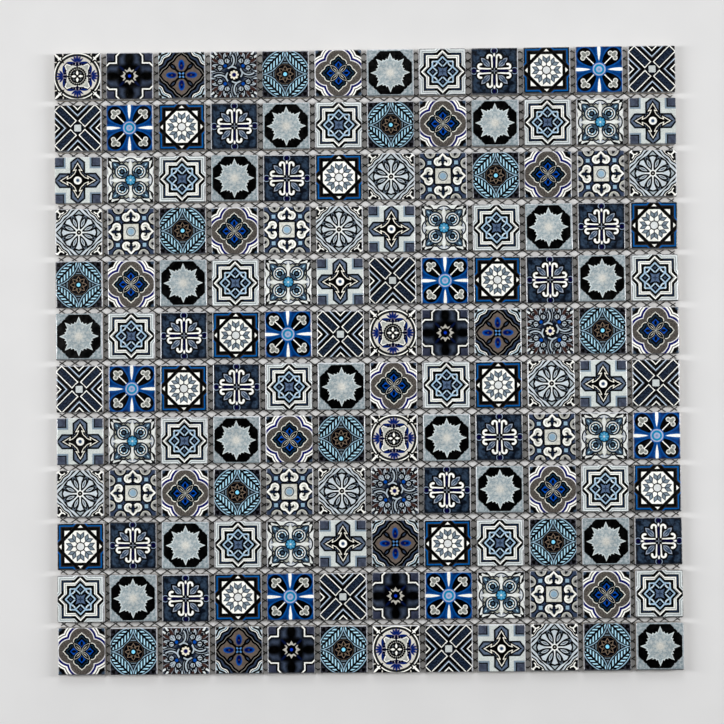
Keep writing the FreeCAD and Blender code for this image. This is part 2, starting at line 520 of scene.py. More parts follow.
    def arc(self) -> Effect:
        """Build the round-ended arc, whose middle lies along the first axis of its place.

        Returns:
            The group.
        """
        w, (place, radius, end, past, half) = self.shape(
            "arc", radius=VALUE, end=VECTOR, past=VECTOR, half_width=VALUE)
        x, y, _ = w.split(place)
        folded = w.gather(x, w.math("ABSOLUTE", y))
        ring = w.math("ABSOLUTE", w.math("SUBTRACT", w.vector("LENGTH", folded), radius))
        beyond = w.math("GREATER_THAN", w.vector("DOT_PRODUCT", folded, past), 0.0)
        further = w.math("SUBTRACT", w.vector("DISTANCE", folded, end), ring)
        return w.give(w.math("SUBTRACT", w.math("MULTIPLY_ADD", beyond, further, ring), half))

    def ripple(self) -> Effect:
        """Build the wave that an outline follows, from its facing, rate and depth.

        Returns:
            The group.
        """
        w, (place, facing, shape, depth) = self.shape(
            "ripple", facing=VECTOR, shape=VALUE, depth=VALUE)
        wave = w.math("MULTIPLY", w.math("COSINE", w.vector("DOT_PRODUCT", place, facing)), depth)
        return w.give(w.math("SUBTRACT", shape, wave))

    def stripes(self) -> Effect:
        """Build the evenly spaced stripes from their facing, spacing and half width.

        Returns:
            The group.
        """
        w, (place, facing, start, half_gap, half) = self.shape(
            "stripes", facing=VECTOR, start=VALUE, half_spacing=VALUE, half_width=VALUE)
        along = w.math("SUBTRACT", w.vector("DOT_PRODUCT", place, facing), start)
        middle = w.math("SUBTRACT", half_gap, w.math("PINGPONG", along, half_gap))
        return w.give(w.math("SUBTRACT", middle, half))

    def ink(self) -> Effect:
        """Build the ink that covers the inside of a shape. Dark ink spreads, light ink shrinks.

        Returns:
            The group.
        """
        w = Effect("ink", {"colour": COLOUR}, under=COLOUR, tint=COLOUR, inside=VALUE,
                   distance=VALUE, softness=VALUE, gain=VALUE)
        under, tint, inside, distance, softness, gain = w.given
        tone = w.math("POWER", w.node("RGBToBW", Color=tint).outputs[0], self.SCREEN_GAMMA)
        spread = w.math("MULTIPLY", w.math("SUBTRACT", tone, self.MIDDLE_TONE), gain)
        edge = w.math("DIVIDE", w.math("ADD", distance, spread), softness)
        cover = w.math("SUBTRACT", 0.5, edge, clamp=True)
        return w.give(w.mix(w.math("MULTIPLY", cover, self.inside(w, inside)), under, tint))

    def cloud(self) -> Effect:
        """Build the blotchy layer of ink.

        Returns:
            The group.
        """
        w = Effect("cloud", {"colour": COLOUR}, under=COLOUR, tint=COLOUR, inside=VALUE,
                   place=VECTOR, scale=VALUE, strength=VALUE)
        under, tint, inside, place, scale, strength = w.given
        patches = w.ramp(w.noise(place, scale, *self.BLOTCHES), *self.BLOTCH_EDGE)
        cover = w.math("MULTIPLY", w.math("MULTIPLY", patches, self.inside(w, inside)), strength)
        return w.give(w.mix(cover, under, tint))

    def hand(self) -> Effect:
        """Build the slight waver of a drawn line.

        Returns:
            The group.
        """
        w = Effect("hand", {"moved": VECTOR}, place=VECTOR, waver=VALUE, seed=VECTOR)
        place, waver, seed = w.given
        spot = w.vector("ADD", place, seed)
        swing = w.node("TexNoise", Vector=spot, Scale=self.WAVES_OF_HAND, Detail=1.0)
        away = w.vector("MULTIPLY", w.vector("SUBTRACT", swing.outputs["Color"], (0.5, 0.5, 0.5)),
                        self.LEVEL)
        flat = w.vector("MULTIPLY", place, self.LEVEL)
        return w.give(w.vector("ADD", flat, w.scale(away, waver)))

    def wash(self) -> Effect:
        """Build the uneven depth of ink across a face and from chip to chip.

        Returns:
            The group.
        """
        w = Effect("wash", {"washed": COLOUR}, colour=COLOUR, place=VECTOR, firing=VALUE,
                   depth=VALUE, density=VALUE, strength=VALUE)
        colour, place, firing, depth, density, strength = w.given
        ink = w.node("Gamma", Color=colour, Gamma=density).outputs[0]
        broad, fine = (w.swing(-0.5, 0.5, place, *waves)
                       for waves in (self.BROAD_WASH, self.FINE_WASH))
        lift = w.math("MULTIPLY", w.math("MULTIPLY_ADD", broad, self.BROAD_SHARE, fine), depth)
        level = w.math("ADD", w.math("ADD", lift, firing), strength)
        return w.give(w.scale(ink, level))

    def speckle(self) -> Effect:
        """Build the pinholes and specks of a fired glaze.

        Returns:
            The group: Specks is 1 in a speck.
        """
        w = Effect("speckle", {"specks": VALUE}, place=VECTOR, scale=VALUE, amount=VALUE)
        place, scale, amount = w.given
        cells = w.node("TexVoronoi", Vector=place, Scale=scale).outputs
        lone = w.math("GREATER_THAN", w.split(cells["Color"])[0], w.math("SUBTRACT", 1.0, amount))
        spot = w.ramp(cells["Distance"], *self.SPECK_EDGE, 1.0, 0.0)
        return w.give(w.math("MULTIPLY", spot, lone))

    def chip_rim(self) -> Effect:
        """Build the masks of a chip's rounded rim: where the ink thins under a painted highlight,
        and where painted shade lies on the near side.

        Returns:
            The group: Rim rises to 1 at the chip's border; Low, the mask of the painted shade,
                rises at its near side only.
        """
        w = Effect("chip_rim", {"rim": VALUE, "low": VALUE}, face=VECTOR, place=VECTOR,
                   start=VALUE, rag=VALUE)
        face, place, start, rag = w.given
        x, y, _ = w.split(w.vector("ABSOLUTE", face))
        near = w.math("MULTIPLY", w.split(face)[1], -1.0)
        ragged = w.math("SUBTRACT", w.noise(place, *self.RIM_RAG), 0.5)
        rag = w.math("MULTIPLY", ragged, rag)
        rim = w.ramp(w.math("ADD", w.math("MAXIMUM", x, y), rag), start, 1.0)
        # The near side's band is painted shade, as if the light came from the far side.
        near_shade_start = w.math("SUBTRACT", start, self.LOW_START)
        return w.give(rim, w.ramp(w.math("ADD", near, rag), near_shade_start, self.LOW_END))

    def glaze_relief(self) -> Effect:
        """Build the height of a fired glaze: slow waves, orange peel and fine grain.

        Returns:
            The group.
        """
        w = Effect("glaze_relief", {"height": VALUE}, place=VECTOR, waves=VALUE, peel=VALUE,
                   grain=VALUE)
        place, *shares = w.given
        height = 0.0
        for share, scale in zip(shares, self.RELIEF_SCALES):
            height = w.math("MULTIPLY_ADD", w.noise(place, scale), share, height)
        return w.give(height)

    def strand(self) -> Effect:
        """Build the twist of a thread's filaments along its own map.

        Returns:
            The group: Height is the filaments' relief, Fuzz the uneven resin on them.
        """
        w = Effect("strand", {"height": VALUE, "fuzz": VALUE}, along=VECTOR, place=VECTOR,
                   twist=VALUE)
        along, place, twist = w.given
        u, v, _ = w.split(along)
        turn = w.math("MULTIPLY_ADD", v, math.tau * self.FILAMENTS, w.math("MULTIPLY", u, twist))
        height = w.math("MULTIPLY_ADD", w.math("SINE", turn), 0.5, 0.5)
        return w.give(height, w.noise(place, *self.FUZZ))


@dataclass(frozen=True)
class Shape:
    """A shape on a chip's face, as the distance to its outline, less than 0 inside."""

    wiring: Wiring
    distance: Socket

    def change(self, operation: str, by: Value = 0.0) -> "Shape":
        """Return the shape after a sum on its distance."""
        return Shape(self.wiring, self.wiring.math(operation, self.distance, by))

    def __or__(self, other: "Shape") -> "Shape":
        """Return what either shape covers."""
        return self.change("MINIMUM", other.distance)

    def __and__(self, other: "Shape") -> "Shape":
        """Return what both shapes cover."""
        return self.change("MAXIMUM", other.distance)

    def __invert__(self) -> "Shape":
        """Return what the shape leaves free."""
        return self.change("MULTIPLY", -1.0)

    def grow(self, by: float) -> "Shape":
        """Return the shape with its outline moved outwards."""
        return self.change("SUBTRACT", by)

    def line(self, half: float, at: float = 0.0) -> "Shape":
        """Return the band along the shape's outline, moved outwards by at."""
        return self.grow(at).change("ABSOLUTE").grow(half)

    def ripple(self, face: "Face", angle: float, spacing: float, depth: float) -> "Shape":
        """Return the shape with its outline swung in waves, counted along an angle of a face."""
        return face.measure("ripple", shape=self.distance, depth=depth,
                            facing=polar(angle, math.tau / spacing))


@dataclass(frozen=True)
class Face:
    """A chip's face, as it is or folded, on which shapes are measured in half faces.

    A centre is a point, or a number where it lies on the first axis; angles are in degrees.
    """

    wiring: Wiring
    shelf: EffectShelf
    place: Socket

    def read(self, name: str, **sizes: Value) -> Socket:
        """Return what an effect of the shelf makes of the face."""
        return self.shelf.place(self.wiring, name, place=self.place, **sizes).outputs[0]

    def measure(self, name: str, **sizes: Value) -> Shape:
        """Return a shape of the shelf."""
        return Shape(self.wiring, self.read(name, **sizes))

    def fold(self, name: str, **sizes: Value) -> "Face":
        """Return the face folded or moved by an effect of the shelf."""
        return Face(self.wiring, self.shelf, self.read(name, **sizes))

    def shift(self, centre: Point | float, angle: float) -> "Face":
        """Return the face measured from another centre, along a turned axis."""
        return self.fold("shift", centre=point(centre), turn=-math.radians(angle))

    def disc(self, centre: Point | float, radius: float) -> Shape:
        """Return a disc."""
        return self.measure("disc", centre=point(centre), radius=radius)

    def oval(self, centre: Point | float, radii: Point) -> Shape:
        """Return an oval."""
        return self.measure("oval", centre=point(centre), radii=(*radii, 1.0))

    def egg(self, middle: float, length: float, half: float, taper: float) -> Shape:
        """Return an egg that lies along the first axis and is wider at its far end."""
        return self.measure("egg", middle=middle, length=length, half_width=half, taper=taper)

    def lens(self, ends: Point, half: float) -> Shape:
        """Return a pointed leaf that lies along the first axis.

        Args:
            ends: Where its two ends are.
            half: Half its width.

        Returns:
            The leaf.
        """
        reach = (ends[1] - ends[0]) / 2
        pull = (reach * reach - half * half) / (2 * half)
        return self.measure("lens", middle=point(sum(ends) / 2), pull=(0, -pull),
                            radius=pull + half)

    def box(self, centre: Point | float, halves: Point) -> Shape:
        """Return a rectangle."""
        return self.measure("box", centre=point(centre), halves=halves)

    def diamond(self, centre: Point | float, half: float, across: float = 0.0) -> Shape:
        """Return a diamond.

        Args:
            centre: Where it is.
            half: Half its length.
            across: Half its width, where that differs.

        Returns:
            The diamond.
        """
        across = across or half
        size = math.hypot(half, across)
        return self.measure("diamond", centre=point(centre), offset=half * across / size,
                            facing=(across / size, half / size))

    def bar(self, start: Point | float, end: Point | float, half: float) -> Shape:
        """Return a round-ended bar.

        Args:
            start: Where it starts.
            end: Where it ends.
            half: Half its width.

        Returns:
            The bar.
        """
        run = Vector(point(end)) - Vector(point(start))
        return self.measure("bar", start=point(start), run=tuple(run), half_width=half,
                            share=tuple(run / (run.length_squared or 1.0)))

    def edge(self, angle: float, offset: float) -> Shape:
        """Return the half plane on the near side of a line that faces an angle."""
        return self.measure("edge", facing=polar(angle), offset=offset)

    def arc(self, centre: Point | float, facing: float, radius: float, opening: float,
            half: float) -> Shape:
        """Return a round-ended arc whose middle faces an angle and which opens to both sides."""
        return self.shift(centre, facing).measure("arc", radius=radius, half_width=half,
                                                  end=polar(opening, radius),
                                                  past=polar(opening + 90))

    def stripes(self, angle: float, spacing: float, half: float, start: float) -> Shape:
        """Return evenly spaced stripes that face an angle."""
        return self.measure("stripes", facing=polar(angle), start=start, half_spacing=spacing / 2,
                            half_width=half)


class Sketch:
    """Lays a print on a chip's face, layer by layer.

    The face runs from -1 to 1. flat is the face as it is, quarter is folded about both axes, axis
    about the diagonals too, with its first part along the nearest axis, and diagonal is axis
    turned by 45 degrees.
    """

    LINE = 0.014
    GAIN = 0.032

    def __init__(self, wiring: Wiring, shelf: EffectShelf, face: Socket, waver: float,
                 seed: float) -> None:
        """Set out the folds of the face.

        Args:
            wiring: The glaze's node tree.
            shelf: Where the shapes come from.
            face: The print's map on the chip.
            waver: How far a drawn line wavers, in half faces.
            seed: Where the waver and the blotches are read.
        """
        self.wiring, self.shelf = wiring, shelf
        self.flat = Face(wiring, shelf, face).fold("hand", waver=waver, seed=(seed, 2 * seed))
        folds = shelf.place(wiring, "fold", place=self.flat.place).outputs
        self.quarter, self.axis, self.diagonal = (Face(wiring, shelf, fold) for fold in folds)
        self.blotches = wiring.vector("ADD", face, (3 * seed, seed))
        self.colour: Value = (0.5, 0.5, 0.5)

    def disc(self, radius: float) -> Shape:
        """Return a disc about the face's centre."""
        return self.flat.disc(0, radius)

    def rays(self, count: int, half: bool = False) -> Face:
        """Return the face folded round its centre into equal rays."""
        step = math.pi / count
        return self.flat.fold("rays", half_step=step, turn=step * half)

    def turns(self, count: int) -> Face:
        """Return the face turned into the first of equal sectors."""
        return self.flat.fold("turns", half_step=math.pi / count)

    def ground(self, tint: Tint) -> None:
        """Cover the face with one colour."""
        self.colour = linear(tint)

    def lay(self, effect: str, tint: Tint, within: Shape | None, **inputs: Value) -> None:
        """Lay one more layer of ink over what is there.

        Args:
            effect: The way it lies, which is an effect of the shelf.
            tint: The ink's colour, as a screen shows it.
            within: A shape that the ink stays inside.
            inputs: What the effect needs besides.
        """
        inside = within.distance if within else -1.0
        self.colour = self.shelf.place(self.wiring, effect, under=self.colour, inside=inside,
                                       tint=linear(tint), **inputs).outputs[0]

    def paint(self, tint: Tint, shape: Shape, soft: float = LINE,
              within: Shape | None = None) -> None:
        """Fill a shape with ink whose edge is as wide as soft, and stay within a second shape."""
        self.lay("ink", tint, within, distance=shape.distance, softness=soft, gain=self.GAIN)

    def nest(self, shape: Shape, *layers: tuple[float, Tint]) -> None:
        """Fill a shape several times over, each time grown by another width."""
        for by, tint in layers:
            self.paint(tint, shape.grow(by))

    def cloud(self, tint: Tint, scale: float, strength: float, within: Shape | None = None) -> None:
        """Lay a blotchy wash of ink, as fine as scale says, and stay within a shape."""
        self.lay("cloud", tint, within, place=self.blotches, scale=scale, strength=strength)


@dataclass(frozen=True)
class Print:
    """What a pattern is printed with. Each pattern is a class of its own."""

    node: str = ""

    def draw(self, s: Sketch) -> None:
        """Draw the pattern; each kind of print has its own."""
        raise NotImplementedError


@dataclass(frozen=True)
class PalmetteMedallion(Print):
    """Four cobalt palmettes round a beaded centre, inside a double ring."""

    node: str = "palmette_medallion_tiles"
    corner: Tint = (0.05, 0.06, 0.09)
    streak: Tint = (0.46, 0.48, 0.5)
    gap: Tint = (0.84, 0.83, 0.8)
    leaf: Tint = (0.03, 0.19, 0.46)
    leaf_dark: Tint = (0.015, 0.05, 0.22)
    heart: Tint = (0.6, 0.56, 0.6)
    field: Tint = (0.7, 0.71, 0.69)

    def draw(self, s: Sketch) -> None:
        """Paint the design.

        Args:
            s: What lays the ink.
        """
        s.ground(self.corner)
        middle = s.disc(0)
        s.paint(self.gap, s.diagonal.arc((1.16, 0.14), 100, 0.12, 80, 0.03))
        s.nest(middle, (1.035, BLACK), (1.01, WHITE), (0.935, BLACK), (0.905, self.streak),
               (0.885, BLACK), (0.862, self.gap))
        kite = (s.diagonal.lens((0.9, 1.46), 0.055)
                | s.diagonal.shift(1.06, 90).lens((-0.12, 0.12), 0.045))
        s.nest(kite, (0.035, BLACK), (0.0, WHITE))
        hollow = ~s.axis.disc(1.5, 1.065) & s.disc(0.69)
        s.nest(hollow, (0.035, self.leaf_dark), (0.018, WHITE), (-0.03, self.field))
        s.paint(CREAM, ~s.axis.disc(0.98, 0.56), within=s.disc(0.48))
        s.paint(self.heart, s.axis.oval(0.7, (0.15, 0.17)), soft=0.06)
        for turn, length, half in (
                (0, 0.34, 0.03), (25, 0.33, 0.028), (50, 0.32, 0.028), (84, 0.44, 0.04)):
            petal = s.axis.shift(0.55, turn).lens((0.08, length), half)
            s.paint(self.leaf, petal)
        s.paint(self.leaf_dark, s.axis.disc((0.5, 0.24), 0.036) | s.axis.disc((0.53, 0.13), 0.036)
                | s.axis.lens((0.4, 0.6), 0.045))
        s.nest(middle, (0.4, self.field), (0.33, WHITE))
        s.paint(BLACK, s.rays(24).disc(0.355, 0.03))
        s.paint(BLACK, s.disc(0.285))
        s.paint(self.streak, s.diagonal.arc(0.18, 0, 0.035, 90, 0.012))
        s.paint(WHITE, s.axis.lens((0.03, 0.26), 0.055) | s.axis.diamond(0.14, 0.12, 0.07))
        s.paint(BLACK, s.disc(0.04))


@dataclass(frozen=True)
class MidnightCross(Print):
    """A near-black stepped cross in a white and black outline, with a silver star ring."""

    node: str = "midnight_cross_tiles"
    ground: Tint = (0.31, 0.33, 0.4)
    ground_dark: Tint = (0.17, 0.19, 0.26)
    glow: Tint = (0.32, 0.36, 0.43)
    silver: Tint = (0.76, 0.75, 0.72)
    navy: Tint = (0.07, 0.14, 0.3)
    spot: Tint = (0.1, 0.3, 0.78)

    def draw(self, s: Sketch) -> None:
        """Paint the design.

        Args:
            s: What lays the ink.
        """
        s.ground(self.ground)
        s.cloud(self.ground_dark, 3.0, 0.6)
        cross = s.axis.edge(90, 0.55) & s.axis.edge(47, 0.985)
        s.nest(cross, (0.085, BLACK), (0.046, WHITE), (-0.04, BLACK))
        s.paint(self.glow, cross.grow(-0.13) & ~s.axis.edge(0, 0.5), soft=0.18)
        s.paint(BLACK, s.axis.oval(0.74, (0.3, 0.2)), soft=0.16)
        s.paint(BLACK, s.disc(0.5), soft=0.2)
        s.cloud(BLACK, 4.0, 0.35, within=cross.grow(-0.05))
        s.paint(self.navy, s.diagonal.oval(0.46, (0.13, 0.03)), soft=0.05)
        crown = s.axis.diamond(0.2, 0.185, 0.115) | s.axis.shift(0, 34).diamond(0.2, 0.155, 0.085)
        crown = (crown & ~s.rays(8).disc(0.13, 0.07) & ~s.disc(0.185)
                 & ~s.diagonal.edge(90, 0.03))
        s.paint(self.silver, crown)
        s.paint(self.spot, s.disc(0.055), soft=0.03)


@dataclass(frozen=True)
class QuatrefoilDiamond(Print):
    """A lobed taupe diamond split by dark leaves, with four cobalt drops."""

    node: str = "quatrefoil_diamond_tiles"
    ground: Tint = (0.12, 0.14, 0.19)
    band: Tint = (0.27, 0.32, 0.4)
    taupe: Tint = (0.49, 0.45, 0.42)
    taupe_dark: Tint = (0.34, 0.31, 0.29)
    rim: Tint = (0.62, 0.61, 0.59)
    drop: Tint = (0.03, 0.36, 0.66)
    drop_dark: Tint = (0.02, 0.09, 0.38)
    sky: Tint = (0.7, 0.78, 0.82)
    hub: Tint = (0.42, 0.62, 0.82)

    def draw(self, s: Sketch) -> None:
        """Paint the design.

        Args:
            s: What lays the ink.
        """
        s.ground(self.ground)
        s.cloud(self.band, 7.0, 0.5)
        side = s.diagonal.edge(0, 0.0)
        wavy = side.ripple(s.diagonal, 90, 0.5, 0.038)
        s.paint(self.sky, ~wavy.grow(1.0))
        s.cloud(WHITE, 6.0, 0.55, within=~wavy.grow(1.0))
        s.paint(BLACK, s.diagonal.disc(1.34, 0.09))
        s.paint(BLACK, wavy.line(0.022, at=1.15))
        s.paint(BLACK, wavy.line(0.06, at=0.975))
        s.paint(WHITE, wavy.line(0.03, at=1.005))
        s.paint(self.band, wavy.line(0.03, at=0.865))
        soft = side.ripple(s.diagonal, 90, 0.4, 0.016)
        s.nest(soft, (0.81, BLACK), (0.735, self.rim), (0.695, BLACK), (0.625, self.taupe))
        s.cloud(self.taupe_dark, 6.0, 0.3, within=side.grow(0.6))
        s.paint(BLACK, s.diagonal.bar(0.1, 0.6, 0.032) | s.diagonal.lens((0.32, 0.7), 0.085))
        s.paint(self.band, s.diagonal.lens((0.44, 0.6), 0.024))
        drop = s.axis.oval(0.44, (0.21, 0.12))
        s.paint(self.drop, drop, soft=0.04)
        s.paint(self.drop_dark, s.axis.oval(0.36, (0.12, 0.075)) | s.axis.oval(0.48, (0.08, 0.05)),
                soft=0.07)
        s.paint(self.taupe_dark, s.axis.disc(0.41, 0.028), soft=0.03)
        s.paint(BLACK, s.disc(0.155))
        s.paint(self.hub, s.flat.box(0, (0.11, 0.11)) & ~s.axis.disc(0.13, 0.06))
        s.paint(BLACK, s.disc(0.045))


@dataclass(frozen=True)
class ScrollThicket(Print):
    """Dense slate and cream scrolls round a small cream flower."""

    node: str = "scroll_thicket_tiles"
    ground: Tint = (0.4, 0.43, 0.48)
    rust: Tint = (0.31, 0.22, 0.2)
    dark: Tint = (0.07, 0.09, 0.13)
    pale: Tint = (0.73, 0.77, 0.8)
    light: Tint = (0.88, 0.9, 0.9)
    slate: Tint = (0.22, 0.3, 0.42)
    spot: Tint = (0.06, 0.36, 0.68)
    cream: Tint = (0.93, 0.91, 0.85)
    eye: Tint = (0.03, 0.05, 0.4)

    def draw(self, s: Sketch) -> None:
        """Paint the design.

        Args:
            s: What lays the ink.
        """
        s.ground(self.ground)
        s.cloud(self.dark, 7.0, 0.45)
        s.cloud(self.slate, 5.0, 0.35)
        s.paint(self.rust, s.diagonal.oval((1.0, 0.2), (0.24, 0.16)), soft=0.08)
        for start, turn, length, half, tint in (
                ((0.44, 0.3), -17, 0.62, 0.07, self.pale), ((0.46, 0.38), 3, 0.58, 0.06, self.pale),
                ((0.62, 0.5), 20, 0.36, 0.045, self.pale),
                ((0.44, 0.42), 35, 0.38, 0.06, self.pale),
                ((0.74, 0.66), 36, 0.42, 0.045, self.light),
                ((0.72, 0.12), 8, 0.3, 0.04, self.pale)):
            frond = s.axis.shift(start, turn).lens((0.0, length), half)
            s.nest(frond, (0.03, self.dark), (0.004, tint), (-0.05, self.ground))
        for centre, facing, radius, opening in (
                ((0.6, 0.3), 60, 0.12, 120), ((0.86, 0.36), -60, 0.11, 130),
                ((0.7, 0.7), 100, 0.12, 110)):
            s.paint(self.dark, s.axis.arc(centre, facing, radius, opening, 0.022))
            s.paint(self.light, s.axis.arc(centre, facing, radius - 0.04, opening, 0.014))
        s.paint(self.rust, s.axis.shift((0.79, 0.6), 30).oval(0, (0.13, 0.06)), soft=0.05)
        s.paint(self.rust, s.axis.oval((0.93, 0.3), (0.07, 0.05)), soft=0.05)
        bud = s.axis.lens((0.3, 1.02), 0.12)
        s.nest(bud, (0.03, self.dark), (0.0, self.pale), (-0.04, self.dark))
        s.paint(self.slate, s.axis.lens((0.46, 0.9), 0.035), soft=0.03)
        s.paint(self.dark, s.disc(0.42), soft=0.1)
        s.cloud(self.slate, 9.0, 0.6, within=s.disc(0.44))
        strap = (s.turns(4).arc((0.62, 0.36), -115, 0.36, 62, 0.034)
                 | s.turns(4).arc((0.1, 0.08), 0, 0.24, 40, 0.034))
        s.nest(strap, (0.03, self.dark), (0.0, self.pale))
        s.paint(self.dark, s.diagonal.disc(0.54, 0.085), soft=0.03)
        s.paint(self.spot, s.diagonal.disc(0.54, 0.062))
        s.paint(BLACK, s.disc(0.25))
        s.paint(self.cream, s.rays(8).disc(0.15, 0.058) | s.disc(0.155))
        s.paint(self.eye, s.disc(0.075), soft=0.04)


@dataclass(frozen=True)
class LeafWreath(Print):
    """Four herringbone leaves that close a ring round a dark eye."""

    node: str = "leaf_wreath_tiles"
    ground: Tint = (0.02, 0.02, 0.05)
    curl: Tint = (0.25, 0.25, 0.28)
    leaf: Tint = (0.015, 0.03, 0.08)
    frond: Tint = (0.72, 0.86, 0.92)
    outline: Tint = (0.6, 0.7, 0.76)
    star: Tint = (0.5, 0.56, 0.6)
    tan: Tint = (0.6, 0.54, 0.48)
    spot: Tint = (0.6, 0.86, 0.96)

    def draw(self, s: Sketch) -> None:
        """Paint the design.

        Args:
            s: What lays the ink.
        """
        s.ground(self.ground)
        s.paint(self.curl, s.diagonal.arc((1.2, 0.03), 60, 0.09, 100, 0.018)
                | s.diagonal.bar((1.12, 0.14), (1.26, 0.14), 0.018))
        s.paint(self.curl, s.disc(1.03).line(0.014))
        s.paint(self.star, s.axis.diamond(0.46, 0.23, 0.135))
        s.paint(self.leaf, s.axis.edge(0, 0.535).line(0.014))
        blade = s.diagonal.shift(0.735, 90).lens((-0.74, 0.74), 0.25)
        s.nest(blade, (0.078, self.ground), (0.052, self.outline), (-0.012, self.leaf))
        inside = blade.grow(-0.03)
        rib = s.quarter.edge(45, 0.765)
        s.paint(self.frond, s.quarter.stripes(90, 0.125, 0.036, 0.03) & ~rib & inside)
        s.paint(self.frond, s.quarter.stripes(0, 0.125, 0.036, 0.03) & rib & inside)
        s.paint(self.leaf, rib.line(0.022))
        eye = s.disc(0.4)
        s.nest(eye, (0.045, self.ground), (0.014, self.tan), (-0.01, self.leaf))
        petal = s.rays(8).diamond(0.225, 0.12, 0.08)
        s.nest(petal, (0.008, self.tan), (-0.03, BLACK))
        s.paint(BLACK, s.disc(0.13))
        s.paint(self.spot, s.disc(0.086))


@dataclass(frozen=True)
class BudQuatrefoil(Print):
    """A barbed quatrefoil band with four blue buds and fine crossing leaves."""

    node: str = "bud_quatrefoil_tiles"
    corner_sky: Tint = (0.3, 0.37, 0.44)
    royal: Tint = (0.03, 0.05, 0.44)
    lilac: Tint = (0.9, 0.9, 0.9)
    band: Tint = (0.46, 0.44, 0.42)
    band_dark: Tint = (0.28, 0.27, 0.26)
    echo: Tint = (0.88, 0.88, 0.85)
    bud_rim: Tint = (0.15, 0.26, 0.33)
    blue: Tint = (0.01, 0.36, 0.7)

    def draw(self, s: Sketch) -> None:
        """Paint the design.

        Args:
            s: What lays the ink.
        """
        s.ground(BLACK)
        s.paint(self.corner_sky, s.diagonal.disc(1.38, 0.13), soft=0.08)
        foil = s.axis.disc(0.49, 0.595)
        s.nest(foil, (0.215, WHITE), (0.135, self.band_dark), (0.118, WHITE), (0.022, self.royal),
               (-0.044, self.lilac))
        s.paint(self.band, foil.grow(-0.098), soft=0.02)
        s.cloud(self.band_dark, 18.0, 0.9, within=foil.grow(-0.1))
        bud = (s.axis.disc(0.56, 0.1) | s.axis.disc((0.42, 0.18), 0.095) | s.axis.disc(0.38, 0.2)
               | s.axis.diamond(0.44, 0.24, 0.24))
        s.nest(bud, (0.098, self.echo), (0.036, BLACK), (-0.02, self.bud_rim), (-0.072, BLACK))
        heart = s.axis.diamond(0.335, 0.155, 0.15) | s.axis.disc((0.33, 0.07), 0.065)
        s.nest(heart, (0.012, BLACK), (0.0, self.blue))
        s.paint(BLACK, s.axis.lens((0.24, 0.42), 0.045))
        leaf = s.diagonal.lens((0.03, 0.46), 0.08)
        s.nest(leaf, (0.036, BLACK), (0.016, self.echo), (-0.024, BLACK))
        s.paint(self.echo, s.diagonal.lens((0.04, 0.36), 0.02))
        s.paint(self.echo, s.disc(0.026))


@dataclass(frozen=True)
class SilverStar(Print):
    """A mottled pale star on a black octagon."""

    node: str = "silver_star_tiles"
    ground: Tint = (0.56, 0.61, 0.63)
    ground_light: Tint = (0.75, 0.77, 0.78)
    rim: Tint = (0.87, 0.9, 0.9)
    star: Tint = (0.61, 0.66, 0.68)
    star_light: Tint = (0.75, 0.77, 0.77)
    heart: Tint = (0.82, 0.82, 0.8)

    def draw(self, s: Sketch) -> None:
        """Paint the design.

        Args:
            s: What lays the ink.
        """
        s.ground(self.ground)
        s.cloud(self.ground_light, 9.0, 0.85)
        octagon = (s.axis.edge(0, 0.905) & s.axis.edge(45, 0.935)
                   & ~s.diagonal.disc((0.96, 0.1), 0.05))
        s.paint(BLACK, octagon)
        star = (s.disc(0.57) | s.axis.diamond(0.24, 0.6, 0.25)
                | s.diagonal.diamond(0.24, 0.6, 0.25))
        for turn, tip in ((15.6, 0.635), (30, 0.645)):
            star = star | s.axis.shift(0, turn).diamond(0.36, tip - 0.36, 0.2)
        s.paint(self.rim, star.grow(0.008))
        s.paint(self.star, star.grow(-0.035), soft=0.05)
        s.cloud(self.star_light, 14.0, 0.8, within=star.grow(-0.02))
        s.paint(self.star_light, s.rays(8).lens((0.12, 0.34), 0.07)
                | s.rays(8, half=True).lens((0.34, 0.5), 0.06), soft=0.05)
        s.paint(self.heart, s.disc(0.17), soft=0.1)


@dataclass(frozen=True)
class InterlacedStar(Print):
    """Nested eight-point star lines round a blue interlace."""

    node: str = "interlaced_star_tiles"
    pale: Tint = (0.86, 0.88, 0.88)
    blue: Tint = (0.68, 0.77, 0.84)
    grey: Tint = (0.56, 0.59, 0.61)
    slate: Tint = (0.2, 0.25, 0.33)
    hub: Tint = (0.4, 0.47, 0.57)

    def draw(self, s: Sketch) -> None:
        """Paint the design.

        Args:
            s: What lays the ink.
        """
        s.ground(WHITE)
        outer = s.axis.edge(0, 0.755) | s.axis.edge(45, 0.705)
        s.paint(self.pale, ~outer)
        s.paint(self.grey, outer.line(0.014, at=0.115))
        s.paint(BLACK, ~outer.grow(0.215))
        s.paint(BLACK, outer.line(0.036))
        s.paint(self.slate, s.axis.edge(0, 0.745).line(0.016), within=~s.axis.edge(90, 0.36))
        s.paint(self.grey, outer.line(0.012, at=-0.115))
        inner = s.axis.edge(0, 0.5) | s.axis.edge(45, 0.49)
        s.paint(BLACK, inner.grow(0.06))
        arms = (s.axis.bar(0.62, (0.44, 0.18), 0.042)
                | s.axis.bar((0.44, 0.18), (0.435, 0.435), 0.036)
                | s.axis.bar(0.225, (0.43, 0.205), 0.036)
                | s.axis.bar((0.43, 0.205), (0.3, 0.27), 0.036))
        s.paint(self.blue, arms)
        s.paint(WHITE, s.axis.disc((0.315, 0.265), 0.032) | s.axis.disc((0.45, 0.41), 0.03)
                | s.axis.bar((0.26, 0.045), (0.34, 0.125), 0.012), soft=0.03)
        s.nest(s.axis.diamond(0.422, 0.14), (0.0, BLACK), (-0.062, self.hub), (-0.085, self.slate))
        hub = s.diagonal.diamond(0, 0.3, 0.125) | s.axis.diamond(0, 0.18, 0.1)
        s.nest(hub, (0.018, BLACK), (-0.006, self.hub))
        s.paint(self.slate, s.axis.lens((0.0, 0.1), 0.016), soft=0.04)


